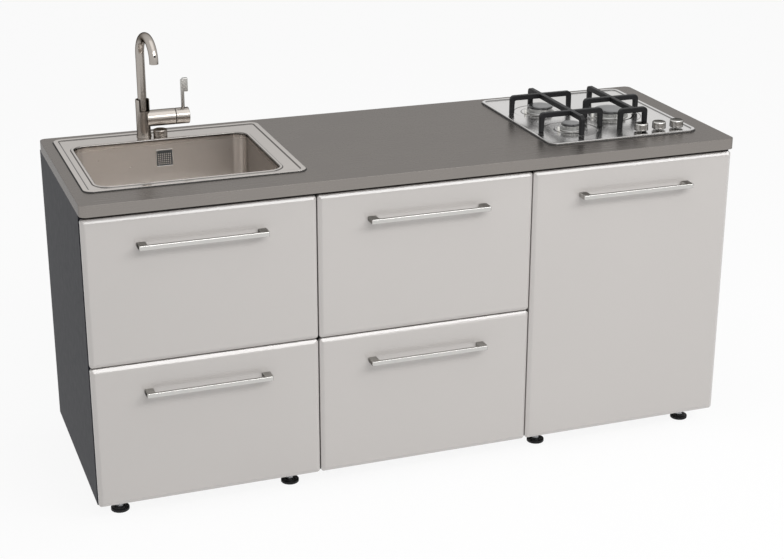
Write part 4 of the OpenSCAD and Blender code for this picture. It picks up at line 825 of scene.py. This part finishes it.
# Each burner: its middle, the radius of its cap and the radius of its dish in the plate.
BURNERS = ((120, 130, 27, 78), (120, 332, 36, 78), (294, 231, 46, 90))
KNOBS_X, KNOBS_Y, SPINDLE_R = (295, 350, 405), 44, 4
RIM_H, RIM_R, RIM_W, HOB_DECK, DISH_Z = 6, 2.6, 14, 3, 1.9
rim_profile = [(0, 0.1)] + arc(RIM_R, RIM_H - RIM_R, RIM_R, 180, 90, 6)
rim_profile += [(RIM_W - 7, RIM_H), (RIM_W - 5.4, 5.7), (RIM_W - 4, 5.0), (RIM_W - 2.8, 3.9),
                (RIM_W - 1.6, 3.2), (RIM_W, HOB_DECK)]
rim = plate(hob_w, hob_d, HOB_R, rim_profile, False, False)
dishes, mouths = [], []
for x, y, cap_r, dish_r in BURNERS:
    rings = [(dish_r, HOB_DECK), (dish_r - 0.8, 2.85), (dish_r - 3.2, 2.1), (dish_r - 4.4, DISH_Z),
             (cap_r + 22, DISH_Z), (cap_r + 20, 2.1), (cap_r + 17, 2.85), (cap_r + 16, HOB_DECK),
             (cap_r - 4, HOB_DECK)]
    mouths.append(circle(x, y, dish_r, 96))
    dishes.append(loft([[(a, b, z) for a, b in circle(x, y, r, 96)] for r, z in rings]))
knob_holes = [circle(x, KNOBS_Y, SPINDLE_R, 24) for x in KNOBS_X]
plate_face = filled(round_rect(hob_w, hob_d, HOB_R, RIM_W), mouths + knob_holes, HOB_DECK)
hob_steel = Finish("hob_steel", (0.60, 0.588, 0.575), 0.2, Metallic=1.0,
                   Specular_Tint=(0.95, 0.95, 0.95, 1))
hob_marks = hob_steel.noise(30.0, (1, 14, 1), 3.0)
hob_steel.feed("Roughness", 0.18 + 0.04 * hob_marks)
# Painted shade: the plate's colour is darkened at the rim's foot, on the steps round each dish and on the
# rim's inner slope, where shade falls in the creases.
pressed = share_of_height(hob_steel, (-1, 1), (0.7, 1), (1.2, 0), (1.95, 0), (2.1, 1), (2.75, 1),
                          (2.95, 0), (3.05, 0), (3.3, 1), (5.3, 1), (5.6, 0))
hob_steel.shade(0.97 + 0.04 * hob_marks - 0.7 * pressed)
hob_steel.bump(hob_marks, 0.000003)
made = piece("pressed_hob_plate", joined([rim, plate_face] + dishes), hob_steel, ["hob_plate"],
             origin=HOB_AT, sheet=True, sharp=50)
thicken(made, SHEET_T)
even_normals(made)

tray_steel = metal("tray_steel", (0.45, 0.45, 0.46), 0.4)
dress_node(tray_steel, 0.2, "hob_tray")
rail_brass = metal("gas_brass", (0.60, 0.46, 0.24), 0.35)
dress_node(rail_brass, 0.4, "gas_manifold", "valve_plug_1", "valve_plug_2", "valve_plug_3")

# ------------------------------------------------------------------ burners
# Cast aluminium cups with gas ports milled round their crowns, black enamelled caps that lie
# on them, and a ceramic igniter with a wire tip beside each.

CROWN_TOP, CAP_TOP, LID_ROUND, CUP_END, CUP_LINING = 16, 22, 3, -29, -26
PORT_LOW, PORT_HIGH, PORT_DEPTH, PORT_SHARE = 9.0, 15.0, 2.4, 0.34


def crown(cap_r):
    """A cup with its flange, and with a row of ports through its crown."""
    ports = round(cap_r * 0.8)

    def port(angle, height):
        open_here = (angle * ports / (2 * math.pi)) % 1 < PORT_SHARE
        return -PORT_DEPTH if open_here and PORT_LOW < height < PORT_HIGH else 0

    crown_r, flange_r = cap_r - 3, cap_r + 5
    outer = [(0, CUP_END), (cap_r - 4, CUP_END), (cap_r - 4, 3), (flange_r - 1, 3), (flange_r, 3.8),
             (flange_r, 5), (flange_r - 1, 6), (cap_r - 1, 6.4), (crown_r, 7.4), (crown_r, PORT_LOW),
             (crown_r, PORT_LOW + 0.05), (crown_r, PORT_HIGH - 0.05), (crown_r, PORT_HIGH),
             (crown_r, CROWN_TOP)]
    inner = [(cap_r - 8, CROWN_TOP), (cap_r - 8, CUP_LINING), (0, CUP_LINING)]
    return lathe(outer + inner, ports * 6, port)


aluminium = metal("cast_aluminium", (0.50, 0.50, 0.49), 0.42, 220.0, spread=0.08, depth=0.00003)
cups = [moved(crown(r), x, y) for x, y, r, _ in BURNERS]
piece("burner_crowns", joined(cups), aluminium, ["burner_cups"], origin=HOB_AT)
enamel = Finish("black_enamel", (0.014, 0.014, 0.015), 0.30, Coat_Weight=0.35, Coat_Roughness=0.08)
enamel.bump(enamel.noise(160.0), 0.00003)
enamel.feed("Roughness", 0.24 + 0.12 * enamel.noise(60.0))
caps = []
for x, y, r, _ in BURNERS:
    lid = [(0, 10), (r - 9, 10), (r - 9, CROWN_TOP), (r - 1.2, CROWN_TOP), (r, CROWN_TOP + 1)]
    lid += arc(r - LID_ROUND, CAP_TOP - LID_ROUND, LID_ROUND, 0, 90, 6)
    lid += [(r * 0.62, CAP_TOP - 0.2), (0, CAP_TOP - 0.5)]
    caps.append(moved(lathe(lid, 72), x, y))
piece("burner_lids", joined(caps), enamel, ["burner_caps"], origin=HOB_AT)

ceramic = Finish("igniter_ceramic", (0.80, 0.79, 0.75), 0.3)
ceramic.bump(ceramic.noise(300.0), 0.00002)
ceramic.shade(0.9 + 0.15 * ceramic.noise(120.0))
IGNITER_R, IGNITER_LOW, IGNITER_TOP, IGNITER_GAP = 3.5, -18, 13.4, 10
TIP_R, TIP_TOP = 1.2, 17
igniter = lathe([(0, IGNITER_LOW), (IGNITER_R, IGNITER_LOW), (IGNITER_R, IGNITER_TOP - 1.8),
                 (IGNITER_R - 0.9, IGNITER_TOP - 0.4), (1.3, IGNITER_TOP), (0, IGNITER_TOP)], 24)
tip = lathe([(0, 12), (TIP_R, 12), (TIP_R, TIP_TOP - 0.8), (0.5, TIP_TOP), (0, TIP_TOP)], 16)
beside = [(x - r - IGNITER_GAP, y) for x, y, r, _ in BURNERS]
piece("igniter_bodies", joined([moved(igniter, x, y) for x, y in beside]), ceramic, ["igniters"],
      origin=HOB_AT)
piece("igniter_tips", joined([moved(tip, x, y) for x, y in beside]), chrome, like="igniters",
      origin=HOB_AT)

# ------------------------------------------------------------------ pan supports
# Cast iron, matt black: bars with legs at their ends, cast in one piece, fettled smooth and
# dipped in enamel. The left one spans two burners and the right one stands over the large one.

BAR_W, BAR_H, FOOT_Z, SUPPORT_TOP, LEG_TAPER, KNEE_R, FILLET_R = 13, 14, 3.3, 58, 1.5, 12, 4
LEFT_ARM, RIGHT_ARM, LEFT_PAST, RIGHT_PAST, FRONT_ARM = 192, 172, 75, 141, 88
QUARTER = Matrix.Rotation(math.pi / 2, 3, "Z")


def bridge(length, legs):
    """Side view of a bar with a leg at either end, over x from 0 to length."""
    high = SUPPORT_TOP - FOOT_Z
    low = high - BAR_H
    leg = BAR_W + FILLET_R
    outline = arc(length - KNEE_R, high - KNEE_R, KNEE_R, 0, 90, 6)
    outline += arc(KNEE_R, high - KNEE_R, KNEE_R, 90, 180, 6)
    outline += [(0, 0), (BAR_W - LEG_TAPER, 0)] if legs[0] else [(0, low + 2)]
    outline += arc(leg, low - FILLET_R, FILLET_R, 180, 90, 4) if legs[0] else [(4, low)]
    outline += arc(length - leg, low - FILLET_R, FILLET_R, 90, 0, 4) if legs[1] else [(length - 4, low)]
    outline += [(length - BAR_W + LEG_TAPER, 0), (length, 0)] if legs[1] else [(length, low + 2)]
    return outline


def bar(length, legs=(True, True)):
    """A bar along X with its left end at x = 0 and its middle line at y = 0."""
    return moved(prism(bridge(length, legs), BAR_W), y=BAR_W / 2, turn=FACING)


def bar_along_x(x, y, length):
    """The bar with its left end at x and its middle line at y."""
    return moved(bar(length), x, y, FOOT_Z)


def bar_along_y(x, y, length, legs=(True, True)):
    """The bar with its front end at y and its middle line at x."""
    return moved(bar(length, legs), x, y, FOOT_Z, QUARTER)


cast_iron = Finish("cast_iron", (0.006, 0.006, 0.007), 0.5, Specular_IOR_Level=0.25)
cast_iron.bump(cast_iron.noise(420.0, detail=4.0), 0.00016)
cast_iron.feed("Roughness", 0.42 + 0.2 * cast_iron.noise(90.0))


def cast(name, bars, node):
    made = piece(name, joined(bars), cast_iron, [node], origin=HOB_AT)
    skin = made.modifiers.new("one_casting", "REMESH")
    skin.mode = "VOXEL"
    skin.voxel_size = 1.1 * MM
    skin.use_smooth_shade = True
    worn = made.modifiers.new("fettled", "SMOOTH")
    worn.factor = 0.5
    worn.iterations = 4
    settle(made)


(left_x, front_y, _, _), (_, rear_y, _, _), (right_x, middle_y, _, _) = BURNERS
cast("left_pan_support", [bar_along_y(left_x, front_y - LEFT_PAST, rear_y - front_y + 2 * LEFT_PAST),
                          bar_along_x(left_x - LEFT_ARM / 2, front_y, LEFT_ARM),
                          bar_along_x(left_x - LEFT_ARM / 2, rear_y, LEFT_ARM)], "pan_support_left")
right_front = middle_y - RIGHT_PAST
cast("right_pan_support", [bar_along_y(right_x, right_front, 2 * RIGHT_PAST, (False, True)),
                           bar_along_x(right_x - RIGHT_ARM / 2, middle_y, RIGHT_ARM),
                           bar_along_x(right_x - FRONT_ARM / 2, right_front + BAR_W / 2, FRONT_ARM)],
     "pan_support_right")

# ------------------------------------------------------------------ hob knobs
# Turned metal knobs with a rounded shoulder, a fine ring and a black mark on top, on a steel
# stem that goes down into the valve.

knob_metal = metal("knob_metal", (0.55, 0.54, 0.52), 0.16, 70.0, spread=0.04, edge=0.05)
DIAL_R, DIAL_LOW, DIAL_TOP, DIAL_ROUND, SHAFT_R, SHAFT_END = 19, 7, 26.8, 3, 3, -26.5
MARK_W, MARK_L, MARK_Y, MARK_TOP = 1.6, 9, 6, 27
dial = [(0, SHAFT_END), (SHAFT_R, SHAFT_END), (SHAFT_R, DIAL_LOW), (DIAL_R - 1.2, DIAL_LOW),
        (DIAL_R, DIAL_LOW + 1), (DIAL_R, 10.4), (DIAL_R - 0.6, 10.9), (DIAL_R - 0.6, 11.5),
        (DIAL_R, 12), (DIAL_R - 0.5, 23)]
dial += arc(DIAL_R - 0.5 - DIAL_ROUND, 24, DIAL_ROUND, 0, 90, 6) + [(0, DIAL_TOP)]
mark = plate(MARK_W, MARK_L, 0.7, [(0, MARK_TOP - 1), (0, MARK_TOP - 0.1), (0.2, MARK_TOP)], steps=3)
for k, x in enumerate(KNOBS_X, 1):
    node = "knob_%d" % k
    piece("hob_%s_body" % node, moved(lathe(dial, 72), x, KNOBS_Y), knob_metal, [node], origin=HOB_AT)
    piece("hob_%s_mark" % node, moved(mark, x - MARK_W / 2, KNOBS_Y + MARK_Y), nylon, like=node,
          origin=HOB_AT)

# ------------------------------------------------------------------ studio
# A pale floor that keeps the shadow in a white room, a wide soft lamp overhead and a low one
# in front, and the camera, fitted to the corners of the fronts and the worktop.

scene = bpy.context.scene
scene.view_settings.view_transform = "Standard"
ROOM_LIGHT, FLOOR_GLOW, FLOOR_REACH = 0.5, 0.9, 40


def seen(nodes):
    """1 where a camera, glossy or transmission ray looks, and 0 elsewhere."""
    camera_ray, glossy_ray, clear_ray = [
        nodes.add("LightPath", out="Is %s Ray" % kind) for kind in ("Camera", "Glossy", "Transmission")]
    return camera_ray.math("MAXIMUM", camera_ray.math("MAXIMUM", camera_ray, glossy_ray), clear_ray)


world = bpy.data.worlds.new("white_room")
scene.world = world
world.use_nodes = True
room = Nodes(world.node_tree)
sky = room.tree.nodes["Background"]
sky.inputs["Color"].default_value = (1, 1, 1, 1)
room.give(sky.inputs["Strength"], ROOM_LIGHT + (1 - ROOM_LIGHT) * seen(room))

floor_mesh = bpy.data.meshes.new("floor")
floor_corners = [(x * FLOOR_REACH, y * FLOOR_REACH, 0) for x, y in ((-1, -1), (1, -1), (1, 1), (-1, 1))]
floor_mesh.from_pydata(floor_corners, [], [(0, 1, 2, 3)])
floor = bpy.data.objects.new("floor", floor_mesh)
scene.collection.objects.link(floor)
paper = Finish("floor_paper", (0.93, 0.93, 0.93), 0.8)
paper.shade(0.98 + 0.02 * paper.noise(2.0))
lit_paper = Socket(paper, paper.shader.outputs[0])
blend = paper.add("MixShader", {}, {0: FLOOR_GLOW * seen(paper), 1: lit_paper, 2: paper.add("Emission")})
paper.give(paper.tree.nodes["Material Output"].inputs["Surface"], blend)
floor_mesh.materials.append(paper.material)


def lamp(name, at, aim, width, height, power):
    """A soft lamp that faces a point."""
    light = bpy.data.lights.new(name, "AREA")
    light.shape = "RECTANGLE"
    light.size = width
    light.size_y = height
    light.energy = power
    holder = bpy.data.objects.new(name, light)
    holder.location = at
    holder.rotation_euler = (Vector(aim) - Vector(at)).to_track_quat("-Z", "Y").to_euler()
    scene.collection.objects.link(holder)


lamp("soft_overhead", (0.2, -0.9, 4.2), (0, 0, 0.6), 4.0, 3.0, 32)
lamp("soft_front", (1.2, -3.5, 3.35), (0.0, 0, 0.8), 5.0, 1.1, 120)

EYE_AT, LENS = Vector((-1.46265, -4.03478, 2.08336)), 74.70
TURN, TILT, ROLL = math.radians(-20.024), math.radians(20.690), 0.00227
ahead = Vector((-math.sin(TURN) * math.cos(TILT), math.cos(TURN) * math.cos(TILT), -math.sin(TILT)))
right = Vector((math.cos(TURN), math.sin(TURN), 0))
upward = right.cross(ahead)
across = right * math.cos(ROLL) + upward * math.sin(ROLL)
above = upward * math.cos(ROLL) - right * math.sin(ROLL)
eye = bpy.data.cameras.new("camera")
eye.sensor_fit = "HORIZONTAL"
eye.sensor_width = 36
eye.lens = LENS
camera = bpy.data.objects.new("camera", eye)
facing = Matrix((across, above, -ahead)).transposed().to_4x4()
camera.matrix_world = Matrix.Translation(EYE_AT) @ facing
scene.collection.objects.link(camera)
scene.camera = camera
